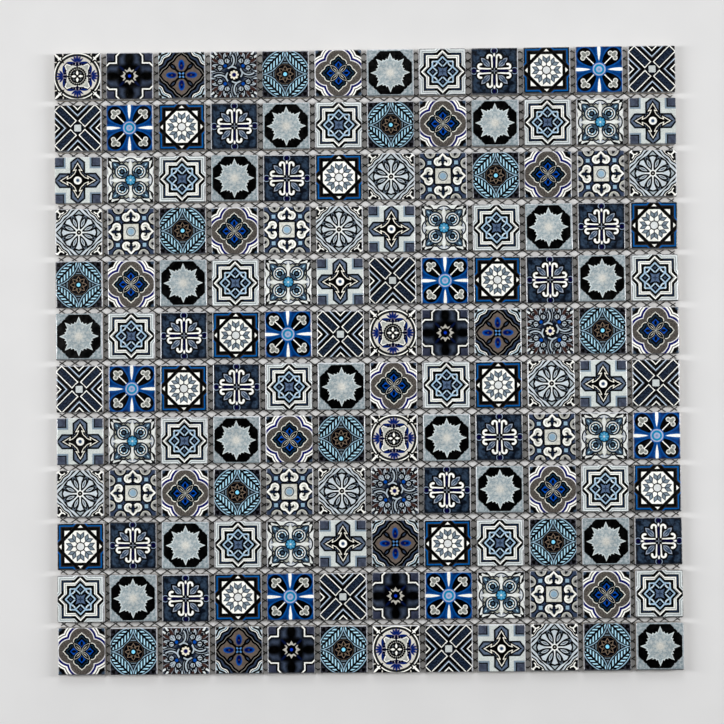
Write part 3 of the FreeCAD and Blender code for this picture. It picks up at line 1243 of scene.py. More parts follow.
@dataclass(frozen=True)
class FleurCross(Print):
    """A white scroll cross on blotchy navy, with leaves on the diagonals."""

    node: str = "fleur_cross_tiles"
    ground: Tint = (0.3, 0.37, 0.45)
    ground_dark: Tint = (0.06, 0.09, 0.14)
    leaf: Tint = (0.66, 0.69, 0.74)
    navy: Tint = (0.04, 0.05, 0.3)
    bud: Tint = (0.64, 0.7, 0.78)

    def draw(self, s: Sketch) -> None:
        """Paint the design.

        Args:
            s: What lays the ink.
        """
        s.ground(self.ground)
        s.cloud(self.ground_dark, 3.5, 0.95)
        s.cloud(self.ground_dark, 9.0, 0.4)
        s.paint(self.ground_dark, ~s.flat.box(0, (0.92, 0.92)), soft=0.14)
        s.paint(BLACK, s.diagonal.disc(0.4, 0.33) | s.axis.disc((0.58, 0.18), 0.2), soft=0.05)
        leaf = s.diagonal.lens((0.22, 0.78), 0.112)
        s.nest(leaf, (0.05, BLACK), (0.006, self.leaf), (-0.042, self.ground))
        s.paint(self.leaf, s.diagonal.bar(0.3, 0.5, 0.014))
        bud = s.axis.oval(0.86, (0.155, 0.15))
        s.nest(bud, (0.03, BLACK), (0.0, self.bud), (-0.045, self.ground_dark))
        s.paint(self.navy, s.axis.lens((0.76, 1.0), 0.045))
        limbs = (s.axis.bar((0.16, 0.085), (0.52, 0.105), 0.042)
                 | s.axis.arc((0.585, 0.195), 5, 0.095, 105, 0.054)
                 | s.axis.disc((0.585, 0.285), 0.062))
        s.nest(limbs, (0.04, BLACK), (0.0, WHITE))
        s.paint(WHITE, s.axis.lens((0.58, 0.78), 0.05))
        s.paint(BLACK, s.axis.edge(90, 0.048), within=s.axis.edge(0, 0.6))
        s.paint(self.navy, s.axis.lens((0.2, 0.6), 0.034), soft=0.03)
        s.paint(self.leaf, s.axis.lens((0.0, 0.14), 0.016))


@dataclass(frozen=True)
class FramedRosette(Print):
    """A twelve-petal rosette in white, black and blue frames."""

    node: str = "framed_rosette_tiles"
    ground: Tint = (0.2, 0.22, 0.26)
    blue: Tint = (0.03, 0.41, 0.65)
    taupe: Tint = (0.24, 0.22, 0.21)
    petal: Tint = (0.54, 0.59, 0.63)
    shade: Tint = (0.26, 0.3, 0.34)
    heart: Tint = (0.86, 0.87, 0.87)

    def draw(self, s: Sketch) -> None:
        """Paint the design.

        Args:
            s: What lays the ink.
        """
        s.ground(self.ground)
        frame = s.axis.edge(0, 0.865) | s.axis.edge(45, 0.83)
        s.nest(frame, (0.055, BLACK), (0.032, self.blue), (-0.032, self.taupe))
        s.paint(WHITE, s.axis.edge(45, 0.665) & ~s.axis.edge(0, 0.79))
        band = s.axis.edge(0, 0.0)
        s.nest(band, (0.775, BLACK), (0.685, WHITE))
        ribbon = s.axis.edge(45, 0.715)
        s.paint(WHITE, ribbon.line(0.075))
        s.paint(self.taupe, ribbon.line(0.06))
        s.paint(BLACK, ribbon.line(0.04))
        inner = s.axis.edge(0, 0.675) & s.axis.edge(45, 0.64)
        s.paint(WHITE, inner)
        eighth = s.rays(8)
        petal = eighth.edge(142, -0.236) & eighth.edge(87, 0.176) & eighth.edge(-38, 0.385)
        s.nest(petal, (0.004, self.shade), (-0.022, self.petal))
        s.paint(self.shade, eighth.bar(0.2, 0.47, 0.01))
        star = s.disc(0.195) | eighth.disc(0.195, 0.024)
        s.nest(star, (-0.014, BLACK), (-0.032, self.heart))


@dataclass(frozen=True)
class Pinwheel(Print):
    """Royal blue with white rays and four black petals that hold grey trefoils."""

    node: str = "pinwheel_tiles"
    ground: Tint = (0.03, 0.29, 0.53)
    light: Tint = (0.1, 0.41, 0.66)
    deep: Tint = (0.02, 0.07, 0.25)
    trefoil: Tint = (0.58, 0.59, 0.57)
    trefoil_rim: Tint = (0.95, 0.95, 0.93)
    lilac: Tint = (0.7, 0.72, 0.81)
    turquoise: Tint = (0.1, 0.58, 0.74)

    def draw(self, s: Sketch) -> None:
        """Paint the design.

        Args:
            s: What lays the ink.
        """
        s.ground(self.ground)
        s.paint(self.deep, ~s.flat.box(0, (0.94, 0.94)), soft=0.16)
        petal = s.diagonal.egg(0.69, 0.44, 0.272, 0.32)
        s.paint(self.light, petal.line(0.02, at=0.055), soft=0.06)
        ray = s.axis.egg(0.74, 0.42, 0.074, 0.5)
        s.paint(self.light, ray.grow(0.045), soft=0.09)
        s.cloud(self.deep, 6.0, 0.2)
        s.paint(WHITE, ray)
        s.nest(petal, (0.012, self.deep), (0.0, BLACK))
        s.paint(WHITE, s.diagonal.bar(0.33, 0.75, 0.032))
        trefoil = (s.diagonal.disc(0.965, 0.112) | s.diagonal.disc((0.825, 0.142), 0.112)
                   | s.diagonal.disc(0.875, 0.135))
        s.paint(self.trefoil_rim, trefoil)
        s.paint(self.trefoil, trefoil.grow(-0.045), soft=0.045)
        hub = s.disc(0.0)
        s.nest(hub, (0.31, self.light), (0.275, self.lilac), (0.215, self.turquoise),
               (0.135, self.lilac))
        s.paint(self.turquoise, s.disc(0.03), soft=0.09)


@dataclass(frozen=True)
class LatticeCross(Print):
    """Slate bars on the diagonals and nested chevrons between them."""

    node: str = "lattice_cross_tiles"
    bar: Tint = (0.12, 0.165, 0.23)
    bar_line: Tint = (0.27, 0.32, 0.39)
    chevron: Tint = (0.79, 0.85, 0.91)
    grey: Tint = (0.34, 0.35, 0.38)
    hub: Tint = (0.79, 0.81, 0.81)

    def draw(self, s: Sketch) -> None:
        """Paint the design.

        Args:
            s: What lays the ink.
        """
        s.ground(BLACK)
        for place, half, tint in (
                (0.335, 0.012, self.grey), (0.375, 0.026, self.chevron), (0.555, 0.034, WHITE),
                (0.68, 0.022, self.grey)):
            s.paint(tint, s.diagonal.edge(90, place).line(half))
        bar = s.diagonal.box(0.74, (0.475, 0.17))
        s.nest(bar, (0.084, BLACK), (0.036, WHITE), (-0.034, BLACK), (-0.062, self.bar))
        s.cloud(self.bar_line, 12.0, 0.7, within=bar.grow(-0.06))
        hub = s.flat.box(0, (0.15, 0.15)) & s.disc(0.19)
        s.nest(hub, (0.05, self.bar), (0.02, BLACK), (0.0, self.hub))


@dataclass(frozen=True)
class ScrollRosette(Print):
    """Four spiral roundels round a turquoise flower, in leafy scrolls."""

    node: str = "scroll_rosette_tiles"
    ground: Tint = (0.68, 0.69, 0.66)
    pale: Tint = (0.88, 0.89, 0.88)
    mist: Tint = (0.64, 0.67, 0.72)
    ink: Tint = (0.03, 0.035, 0.05)
    slate: Tint = (0.3, 0.38, 0.45)
    blue: Tint = (0.66, 0.77, 0.83)
    turquoise: Tint = (0.2, 0.52, 0.68)
    turquoise_pale: Tint = (0.45, 0.7, 0.8)

    def draw(self, s: Sketch) -> None:
        """Paint the design.

        Args:
            s: What lays the ink.
        """
        s.ground(self.pale)
        for start, turn, length in (
                ((0.93, 0.84), 118, 0.24), ((0.8, 0.82), 30, 0.3), ((0.9, 0.66), 62, 0.26),
                ((0.84, 0.5), 48, 0.3), ((0.98, 0.34), 78, 0.26), ((0.99, 0.93), 140, 0.2)):
            s.paint(self.ink, s.axis.shift(start, turn).lens((-0.06, length), 0.021))
        bulge = s.axis.disc(0.58, 0.345) | s.axis.edge(4, 0.8)
        s.nest(bulge, (0.012, self.ink), (-0.02, self.mist))
        s.paint(self.pale, s.axis.arc(0.58, 0, 0.285, 46, 0.024))
        square = s.axis.edge(4, 0.765).ripple(s.axis, 90, 0.19, 0.026)
        s.nest(square, (0.012, self.ink), (-0.022, self.ground))
        s.paint(self.pale, s.axis.lens((0.16, 0.9), 0.1), soft=0.05)
        roundel = s.diagonal.disc(0.53, 0.3) | s.diagonal.lens((0.6, 1.08), 0.14)
        s.nest(roundel, (0.014, self.ink), (-0.022, self.slate))
        for radius, half, opening, tint in (
                (0.24, 0.031, 122, self.pale), (0.192, 0.012, 150, self.ink),
                (0.145, 0.029, 132, self.blue), (0.092, 0.018, 160, self.ink)):
            s.paint(tint, s.diagonal.arc(0.51, 0, radius, opening, half))
        s.paint(self.ink, s.diagonal.bar(0.78, 0.9, 0.014))
        s.paint(WHITE, s.diagonal.disc(0.655, 0.042) | s.diagonal.disc((0.6, 0.12), 0.038))
        s.paint(self.blue, s.diagonal.lens((0.84, 1.0), 0.035))
        flower = s.rays(8).disc(0.135, 0.066) | s.disc(0.16)
        s.nest(flower, (0.026, self.ink), (0.0, self.turquoise))
        s.paint(self.turquoise_pale, s.rays(8).lens((0.04, 0.19), 0.03), soft=0.03)
        s.paint(self.pale, s.disc(0.05), soft=0.04)


@dataclass(frozen=True)
class ArrowCross(Print):
    """A black arrow-headed cross in slate outlines on a pale stepped ground."""

    node: str = "arrow_cross_tiles"
    ground: Tint = (0.82, 0.84, 0.83)
    corner: Tint = (0.31, 0.33, 0.39)
    halo: Tint = (0.56, 0.62, 0.67)
    slate: Tint = (0.36, 0.41, 0.48)
    mist: Tint = (0.46, 0.51, 0.58)
    cream: Tint = (0.95, 0.94, 0.9)
    eye: Tint = (0.15, 0.3, 0.44)

    def draw(self, s: Sketch) -> None:
        """Paint the design.

        Args:
            s: What lays the ink.
        """
        s.ground(self.ground)
        square = ~s.axis.edge(90, 0.62)
        s.paint(self.halo, square.grow(0.11), soft=0.03)
        s.nest(square, (0.018, BLACK), (-0.018, self.corner))
        s.cloud(self.mist, 6.0, 0.35, within=square.grow(-0.02))
        arm = s.axis.edge(90, 0.285) & s.axis.edge(38, 0.78)
        s.nest(arm, (0.04, self.halo), (0.014, BLACK), (-0.038, self.slate))
        s.paint(self.mist, arm.line(0.028, at=-0.095), soft=0.03)
        shaft = s.axis.edge(90, 0.04) & s.axis.edge(0, 0.6)
        head = s.axis.edge(60, 0.338) & ~s.axis.edge(17, 0.48)
        body = ~s.axis.disc((0.46, 0.37), 0.315) & s.axis.edge(0, 0.4)
        arrow = shaft | head | body
        s.nest(arrow, (0.08, BLACK), (0.052, self.cream), (-0.008, BLACK))
        s.paint(WHITE, s.disc(0.18))
        s.paint(self.eye, s.disc(0.065), soft=0.06)


@dataclass(frozen=True)
class FlowerDiamond(Print):
    """A many-petalled line flower in a stepped diamond frame."""

    node: str = "flower_diamond_tiles"
    ground: Tint = (0.68, 0.72, 0.74)
    pale: Tint = (0.8, 0.83, 0.85)
    ink: Tint = (0.02, 0.025, 0.04)
    shade: Tint = (0.42, 0.46, 0.5)

    def draw(self, s: Sketch) -> None:
        """Paint the design.

        Args:
            s: What lays the ink.
        """
        s.ground(self.ground)
        side = s.diagonal.edge(0, 0.0)
        curls = ~side.grow(0.99)
        s.paint(self.ink, curls)
        s.paint(WHITE, s.diagonal.arc((1.2, 0.12), -60, 0.13, 130, 0.036)
                | s.diagonal.lens((1.08, 1.4), 0.045)
                | s.diagonal.arc((1.08, 0.38), 120, 0.1, 120, 0.034), within=curls)
        wavy = side.ripple(s.diagonal, 90, 0.42, 0.018)
        s.nest(wavy, (1.015, WHITE), (0.965, self.ink), (0.93, self.pale), (0.84, self.ink))
        s.nest(side, (0.808, self.pale), (0.69, self.ink), (0.652, self.ground))
        s.nest(s.disc(0.755), (0.004, self.ink), (-0.03, self.ground))
        eighth = s.rays(8)
        between = s.rays(8, half=True)
        s.paint(self.shade, between.lens((0.24, 0.78), 0.13))
        loop = between.lens((0.22, 0.66), 0.075)
        s.nest(loop, (0.016, self.ink), (-0.012, self.pale), (-0.052, self.shade))
        flare = ~eighth.disc((0.28, 0.8), 0.745)
        petal = flare & eighth.edge(22, 0.7) & s.disc(0.82)
        s.nest(petal, (0.018, self.ink), (-0.02, self.pale))
        s.paint(WHITE, eighth.bar(0.08, 0.34, 0.022) | s.disc(0.15), soft=0.03)
        s.paint(self.ink, s.disc(0.082))
        s.paint(WHITE, s.disc(0.03))


@dataclass(frozen=True)
class Hearts(Print):
    """Four cream hearts with dark trefoils round a pale square."""

    node: str = "heart_tiles"
    ground: Tint = (0.3, 0.35, 0.44)
    ground_dark: Tint = (0.16, 0.2, 0.28)
    cream: Tint = (0.8, 0.8, 0.77)
    grey: Tint = (0.66, 0.66, 0.65)
    ink: Tint = (0.03, 0.05, 0.1)
    slate: Tint = (0.13, 0.19, 0.28)
    sky: Tint = (0.62, 0.72, 0.79)
    ring: Tint = (0.32, 0.4, 0.46)

    def draw(self, s: Sketch) -> None:
        """Paint the design.

        Args:
            s: What lays the ink.
        """
        s.ground(self.ground)
        s.cloud(self.ground_dark, 5.0, 0.35)
        half_oval = s.axis.oval((1.02, 0.53), (0.27, 0.24))
        s.nest(half_oval, (0.036, self.ink), (0.0, self.cream), (-0.045, self.grey))
        s.paint(self.ink, s.axis.shift((0.86, 0.5), 20).lens((0.0, 0.22), 0.05), soft=0.03)
        square = s.flat.box(0, (0.305, 0.305))
        s.nest(square, (0.055, self.ink), (0.022, self.cream))
        s.cloud(WHITE, 9.0, 0.5, within=square)
        s.nest(s.disc(0.2), (0.0, self.ring), (-0.03, self.cream))
        s.paint(self.sky, s.disc(0.14), soft=0.02)
        lobe = s.axis.disc((0.61, 0.195), 0.19)
        heart = lobe | (s.axis.edge(46, 0.685) & ~s.axis.edge(0, 0.6))
        s.nest(heart, (0.04, self.ink), (0.006, WHITE), (-0.062, self.cream))
        s.paint(self.ink, s.axis.edge(90, 0.028) & s.axis.edge(0, 0.53).line(0.13))
        s.paint(WHITE, s.axis.arc((0.56, 0.17), 120, 0.055, 130, 0.03))
        fleur = (s.axis.lens((0.58, 0.84), 0.066)
                 | s.axis.arc((0.585, 0.095), -20, 0.072, 95, 0.026)
                 | s.axis.bar(0.62, 0.66, 0.045))
        s.nest(fleur, (-0.004, self.ink), (-0.03, self.slate))
        gem = s.diagonal.diamond(0.8, 0.115)
        s.nest(gem, (0.025, self.ground_dark), (0.0, self.sky))


DESIGNS: dict[str, type[Print]] = {
    "A": PalmetteMedallion, "B": MidnightCross, "C": QuatrefoilDiamond, "D": ScrollThicket,
    "E": LeafWreath, "F": BudQuatrefoil, "G": SilverStar, "H": InterlacedStar, "I": FleurCross,
    "J": FramedRosette, "K": Pinwheel, "L": LatticeCross, "M": ScrollRosette, "N": ArrowCross,
    "O": FlowerDiamond, "P": Hearts,
}


def start_finish(name: str) -> tuple[Material, Wiring, Node, Socket]:
    """Start a finish.

    Args:
        name: Its name.

    Returns:
        The material, its wiring, its shader and the place on the object.
    """
    material = bpy.data.materials.new(name)
    material.use_nodes = True
    w = Wiring(material.node_tree)
    shader = material.node_tree.nodes["Principled BSDF"]
    return material, w, shader, w.node("TexCoord").outputs["Object"]


@dataclass(frozen=True)
class PrintedGlaze:
    """The finish of a chip: a print under a satin glaze, on pale clay, with a painted highlight at
    the rim and painted shade at its near side.
    """

    clay: Tint = (0.80, 0.76, 0.70)
    # Pale where the ink thins at the rim, brightened as a painted highlight.
    rim_pale_glaze_and_highlight: Tint = (0.88, 0.89, 0.91)
    # Painted shade along each chip's near rim, as if lit from the far side.
    near_rim_painted_shade: Tint = (0.07, 0.07, 0.08)
    speck: Tint = (0.07, 0.07, 0.09)
    waver: float = 0.016
    wash_depth: float = 0.26
    density: float = 1.30
    strength: float = 1.06
    rim_start: float = 0.950
    rim_share: float = 0.72
    near_rim_shade_share: float = 0.80
    rim_rag: float = 0.05
    speck_scale: float = 620.0
    speck_amount: float = 0.10
    speck_share: float = 0.25
    face_gloss: float = 0.20
    clay_gloss: float = 0.72
    coat: float = 0.9
    coat_gloss: float = 0.10
    glaze_foot: float = 3.3 * MM
    glaze_line: float = 3.9 * MM
    glaze_rag: float = 0.8 * MM
    rag_waves: Point = (500.0, 2.0)
    clay_mottle: Spot = (2200.0, 3.0, 0.7)
    clay_tones: Point = (0.86, 1.06)
    gloss_waves: Point = (420.0, 2.0)
    gloss_swing: Point = (-0.05, 0.07)
    relief: Spot = (0.5, 0.35, 0.12)
    relief_depth: float = 0.12 * MM
    pit_depth: float = 0.3

    def make(self, design: Print, shelf: EffectShelf, seed: float) -> Material:
        """Make the finish of one pattern.

        Args:
            design: What is printed.
            shelf: Where the effects come from.
            seed: What sets this pattern's wavers and blotches apart.

        Returns:
            The material.
        """
        material, w, shader, place = start_finish(design.node.replace("_tiles", "_glaze"))
        face = w.node("UVMap", {"uv_map": "Print"}).outputs[0]
        firing = w.node("Attribute", {"attribute_name": "firing"}).outputs["Fac"]
        sketch = Sketch(w, shelf, face, self.waver, seed)
        design.draw(sketch)
        glazed = shelf.place(w, "wash", colour=sketch.colour, place=place, firing=firing,
                             depth=self.wash_depth, density=self.density,
                             strength=self.strength).outputs[0]
        specks = shelf.place(w, "speckle", place=place, scale=self.speck_scale,
                             amount=self.speck_amount).outputs[0]
        rim, low = shelf.place(w, "chip_rim", face=face, place=place, start=self.rim_start,
                               rag=self.rim_rag).outputs
        for mask, share, tint in ((specks, self.speck_share, self.speck),
                                  # The rim tint is thinned ink and a painted highlight.
                                  (rim, self.rim_share, self.rim_pale_glaze_and_highlight),
                                  # The dark near-side tint is painted shade.
                                  (low, self.near_rim_shade_share, self.near_rim_painted_shade)):
            glazed = w.mix(w.math("MULTIPLY", mask, share), glazed, linear(tint))
        ragged = w.math("SUBTRACT", w.noise(place, *self.rag_waves), 0.5)
        height = w.math("MULTIPLY_ADD", ragged, self.glaze_rag, w.split(place)[2])
        body = w.ramp(height, self.glaze_foot, self.glaze_line, 1.0, 0.0)
        clay = w.scale(linear(self.clay), w.swing(*self.clay_tones, place, *self.clay_mottle))
        gloss_ends = [self.face_gloss + swing for swing in self.gloss_swing]
        gloss = w.swing(*gloss_ends, place, *self.gloss_waves)
        waves, peel, grain = self.relief
        relief = shelf.place(w, "glaze_relief", place=place, waves=waves, peel=peel, grain=grain)
        pits = w.math("MULTIPLY_ADD", specks, -self.pit_depth, relief.outputs[0])
        bump = w.node("Bump", Strength=0.5, Distance=self.relief_depth, Height=pits)
        w.wire(shader, Base_Color=w.mix(body, glazed, clay), Normal=bump.outputs[0],
               Roughness=w.math("MULTIPLY_ADD", body, self.clay_gloss - self.face_gloss, gloss),
               Coat_Weight=w.math("MULTIPLY_ADD", body, -self.coat, self.coat),
               Coat_Roughness=self.coat_gloss, Specular_IOR_Level=0.2)
        return material


@dataclass(frozen=True)
class BondedThread:
    """The finish of the net: dark multifilament thread, stiffened with resin."""

    dark: Tint = (0.07, 0.068, 0.065)
    light: Tint = (0.22, 0.215, 0.21)
    twist: float = 5200.0
    gloss: float = 0.62
    relief_depth: float = 0.05 * MM

    def make(self, shelf: EffectShelf) -> Material:
        """Make the finish.

        Args:
            shelf: Where the effects come from.

        Returns:
            The material.
        """
        material, w, shader, place = start_finish("net_thread")
        along = w.node("UVMap", {"uv_map": "Thread"}).outputs[0]
        height, fuzz = shelf.place(w, "strand", along=along, place=place,
                                   twist=self.twist).outputs
        share = w.math("MULTIPLY", w.math("ADD", height, fuzz), 0.5)
        relief = w.math("MULTIPLY_ADD", fuzz, 0.5, height)
        bump = w.node("Bump", Strength=0.6, Distance=self.relief_depth, Height=relief)
        tint = w.mix(w.ramp(share, 0.3, 0.85), linear(self.dark), linear(self.light))
        w.wire(shader, Base_Color=tint, Normal=bump.outputs[0], Sheen_Weight=0.15,
               Roughness=w.ramp(fuzz, 0.3, 0.7, self.gloss - 0.15, self.gloss + 0.15))
        return material


def set_piece(piece: Object, material: Material, node: str) -> None:
    """Dress a piece and tie it to the solid that it stands for.

    Args:
        piece: The piece, whose place is in its mesh.
        material: Its finish.
        node: The solid's name.
    """
    piece.data.materials.append(material)
    bpy.context.scene.collection.objects.link(piece)
    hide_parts(node)
    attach(piece, "root")
    triangles = sum(len(p.vertices) - 2 for p in piece.data.polygons)
    LOG.info("%s: %d triangles, stands for %s", piece.name, triangles, node)


@dataclass(frozen=True)
class Sheet:
    """Where the chips stand: rows from the far edge down, columns from the left."""

    pitch: float = 25.2 * MM
    columns: int = 12
    rows: int = 12
    layout: tuple[str, ...] = (
        "ABCDEFGHIJKL", "LKJIGHEFGHMN", "NMHGIJOPEFPO", "OPEFPONMHGIJ",
        "EFGHMNLKJIGH", "GHIJKLABCDEF", "LKJIHGFHJONL", "NMHGFEAGIPMK",
        "OPFEPODIGFHJ", "JIGHMNCJHEGI", "HGIJKLBKMPFH", "FEDCBEALNOEG")

    def places(self, letter: str) -> list[Point]:
        """List the centres of the chips of one pattern.

        Args:
            letter: The pattern's letter in the layout.

        Returns:
            The centres, row by row.
        """
        return [((column - (self.columns - 1) / 2) * self.pitch,
                 ((self.rows - 1) / 2 - row) * self.pitch)
                for row, line in enumerate(self.layout)
                for column, found in enumerate(line) if found == letter]


@dataclass(frozen=True)
class Chip:
    """One pressed chip: drafted walls, rounded rim, a low crown and a keyed back."""

    side: float = 22.74 * MM
    seat: float = 0.5 * MM
    top: float = 5.97 * MM
    back_inset: float = 0.12 * MM
    upright_round: float = 0.85 * MM
    rim_round: float = 0.55 * MM
    foot_round: float = 0.25 * MM
    crown: float = 0.02 * MM
    crown_steps: tuple[Point, ...] = ((0.975, 0.0), (0.82, 0.6), (0.6, 0.4))
    key_share: float = 0.82
    key_draft: float = 0.97
    key_depth: float = 0.35 * MM
    key_ribs: int = 5
    rib_gap: float = 0.55 * MM
    rib_share: float = 0.6
    bake_face: Point = (0.41, 0.39)
    bake_back: Spot = (0.91, 0.09, 0.08)
    bake_wall: Point = (0.40, 0.034)
    bake_strips: Point = (0.82, 0.044)

    def build(self) -> Mesh:
        """Shape the chip about the frame's origin, seated on the net.

        Returns:
            The mesh, with its print map and its bake map.
        """
        bm = bmesh.new()
        bmesh.ops.create_cube(bm, size=1.0)
        rise = self.top - self.crown - self.seat
        bmesh.ops.scale(bm, vec=(self.side, self.side, rise), verts=bm.verts)
        bmesh.ops.translate(bm, vec=(0, 0, self.seat + rise / 2), verts=bm.verts)
        back = [v for v in bm.verts if v.co.z < self.seat + rise / 2]
        share = 1 - 2 * self.back_inset / self.side
        bmesh.ops.scale(bm, vec=(share, share, 1), verts=back)
        uprights = [e for e in bm.edges if abs(e.verts[0].co.z - e.verts[1].co.z) > rise / 2]
        self.round_off(bm, uprights, self.upright_round, 4)
        self.round_off(bm, list(self.end_face(bm, 1).edges), self.rim_round, 4)
        self.round_off(bm, list(self.end_face(bm, -1).edges), self.foot_round, 1)
        face = self.end_face(bm, 1)
        for share, lift in self.crown_steps:
            self.step_in(bm, face, share, self.crown * lift)
        self.key_back(bm)
        bm.normal_update()
        for face in bm.faces:
            face.smooth = face.normal.z > -0.3 and not self.on_back(face)
        self.map_faces(bm)
        return take_mesh(bm, "chip")

    def end_face(self, bm: BMesh, way: int) -> BMFace:
        """Find the chip's glazed face or its back.

        Args:
            bm: The chip.
            way: 1 for the glazed face, -1 for the back.

        Returns:
            The largest face that looks that way.
        """
        bm.normal_update()
        return max((f for f in bm.faces if f.normal.z * way > 0.9), key=lambda f: f.calc_area())

    def round_off(self, bm: BMesh, edges: list[BMEdge], offset: float,
                  segments: int) -> None:
        """Round edges off.

        Args:
            bm: The chip.
            edges: The edges.
            offset: How wide the rounding is.
            segments: How many facets it has.
        """
        bmesh.ops.bevel(bm, geom=edges, offset=offset, offset_type="OFFSET", affect="EDGES",
                        segments=segments, profile=0.5, material=-1)

    def step_in(self, bm: BMesh, face: BMFace, share: float, lift: float) -> None:
        """Set a smaller copy of a face inside it, and move that up or down.

        Args:
            bm: The chip.
            face: The face, which becomes the smaller one.
            share: How large the copy is.
            lift: How far it moves up.
        """
        bmesh.ops.inset_region(bm, faces=[face], thickness=HAIR, depth=0.0)
        bmesh.ops.scale(bm, vec=(share, share, 1), verts=face.verts)
        bmesh.ops.translate(bm, vec=(0, 0, lift), verts=face.verts)

    def key_back(self, bm: BMesh) -> None:
        """Sink the back inside a rim and leave ribs in it, which hold the adhesive.

        Args:
            bm: The chip.
        """
        back = self.end_face(bm, -1)
        self.step_in(bm, back, self.key_share, 0.0)
        self.step_in(bm, back, self.key_draft, self.key_depth)
        reach = self.side / 2 * self.key_share * self.key_draft
        for rib in range(1, self.key_ribs):
            geom = {part for face in self.sunk_faces(bm)
                    for part in (face, *face.edges, *face.verts)}
            y = reach * (2 * rib / self.key_ribs - 1)
            bmesh.ops.bisect_plane(bm, geom=list(geom), plane_co=(0, y, 0), plane_no=(0, 1, 0))
        bmesh.ops.inset_individual(bm, faces=self.sunk_faces(bm), thickness=self.rib_gap,
                                   depth=self.key_depth * self.rib_share)

    def sunk_faces(self, bm: BMesh) -> list[BMFace]:
        """List the level faces at the bottom of the sunk back.

        Args:
            bm: The chip.

        Returns:
            The faces.
        """
        bm.normal_update()
        level = self.seat + self.key_depth
        return [f for f in bm.faces if f.normal.z < -0.9
                and abs(f.calc_center_median().z - level) < HAIR]

    def on_back(self, face: BMFace) -> bool:
        """Tell whether a face belongs to the back.

        Args:
            face: The face.

        Returns:
            Whether it looks down, or stands upright within the sunk back.
        """
        x, y, _ = face.calc_center_median()
        inner = max(abs(x), abs(y)) < 0.9 * self.side / 2
        return face.normal.z < -0.1 or inner and face.normal.z < 0.1

    def map_faces(self, bm: BMesh) -> None:
        """Lay the print over the chip from above, and spread the chip out for baking.

        In the bake map the glazed face takes the most room, the four walls lie in strips above it
        and the back sits in the corner.

        Args:
            bm: The chip.
        """
        layers = bm.loops.layers.uv
        printed, baked = layers.new("Print"), layers.new("OFBake")
        half = self.side / 2
        middle, share = self.bake_face
        back_x, back_y, back_share = self.bake_back
        wall_length, wall_height = self.bake_wall
        first, gap = self.bake_strips
        for face in bm.faces:
            normal, back = face.normal, self.on_back(face)
            along_y = abs(normal.x) > abs(normal.y)
            strip = (normal.x > 0) if along_y else 2 + (normal.y > 0)
            for loop in face.loops:
                x, y, z = loop.vert.co
                loop[printed].uv = (x / half, y / half)
                if back:
                    loop[baked].uv = (back_x + back_share * (x + z * normal.x) / half,
                                      back_y + back_share * (y + z * normal.y) / half)
                elif normal.z > 0.1:
                    loop[baked].uv = (middle + share * x / half, middle + share * y / half)
                else:
                    loop[baked].uv = (middle + wall_length * (y if along_y else x) / half,
                                      first + gap * strip + wall_height * z / self.top)


def append_copy(bm: BMesh, mesh: Mesh, matrix: Matrix) -> tuple[list, list]:
    """Add a copy of a mesh to another.

    Args:
        bm: What the copy is added to.
        mesh: The mesh.
        matrix: Where the copy goes.

    Returns:
        The copy's corners and faces.
    """
    known_verts, known_faces = len(bm.verts), len(bm.faces)
    bm.from_mesh(mesh)
    bm.verts.ensure_lookup_table()
    bm.faces.ensure_lookup_table()
    verts, faces = bm.verts[known_verts:], bm.faces[known_faces:]
    bmesh.ops.transform(bm, matrix=matrix, verts=verts)
    return verts, faces


def take_mesh(bm: BMesh, name: str) -> Mesh:
    """Turn a mesh under work into a finished one.

    Args:
        bm: The mesh under work, which is freed.
        name: The finished mesh's name.

    Returns:
        The finished mesh.
    """
    mesh = bpy.data.meshes.new(name)
    bm.to_mesh(mesh)
    bm.free()
    return mesh


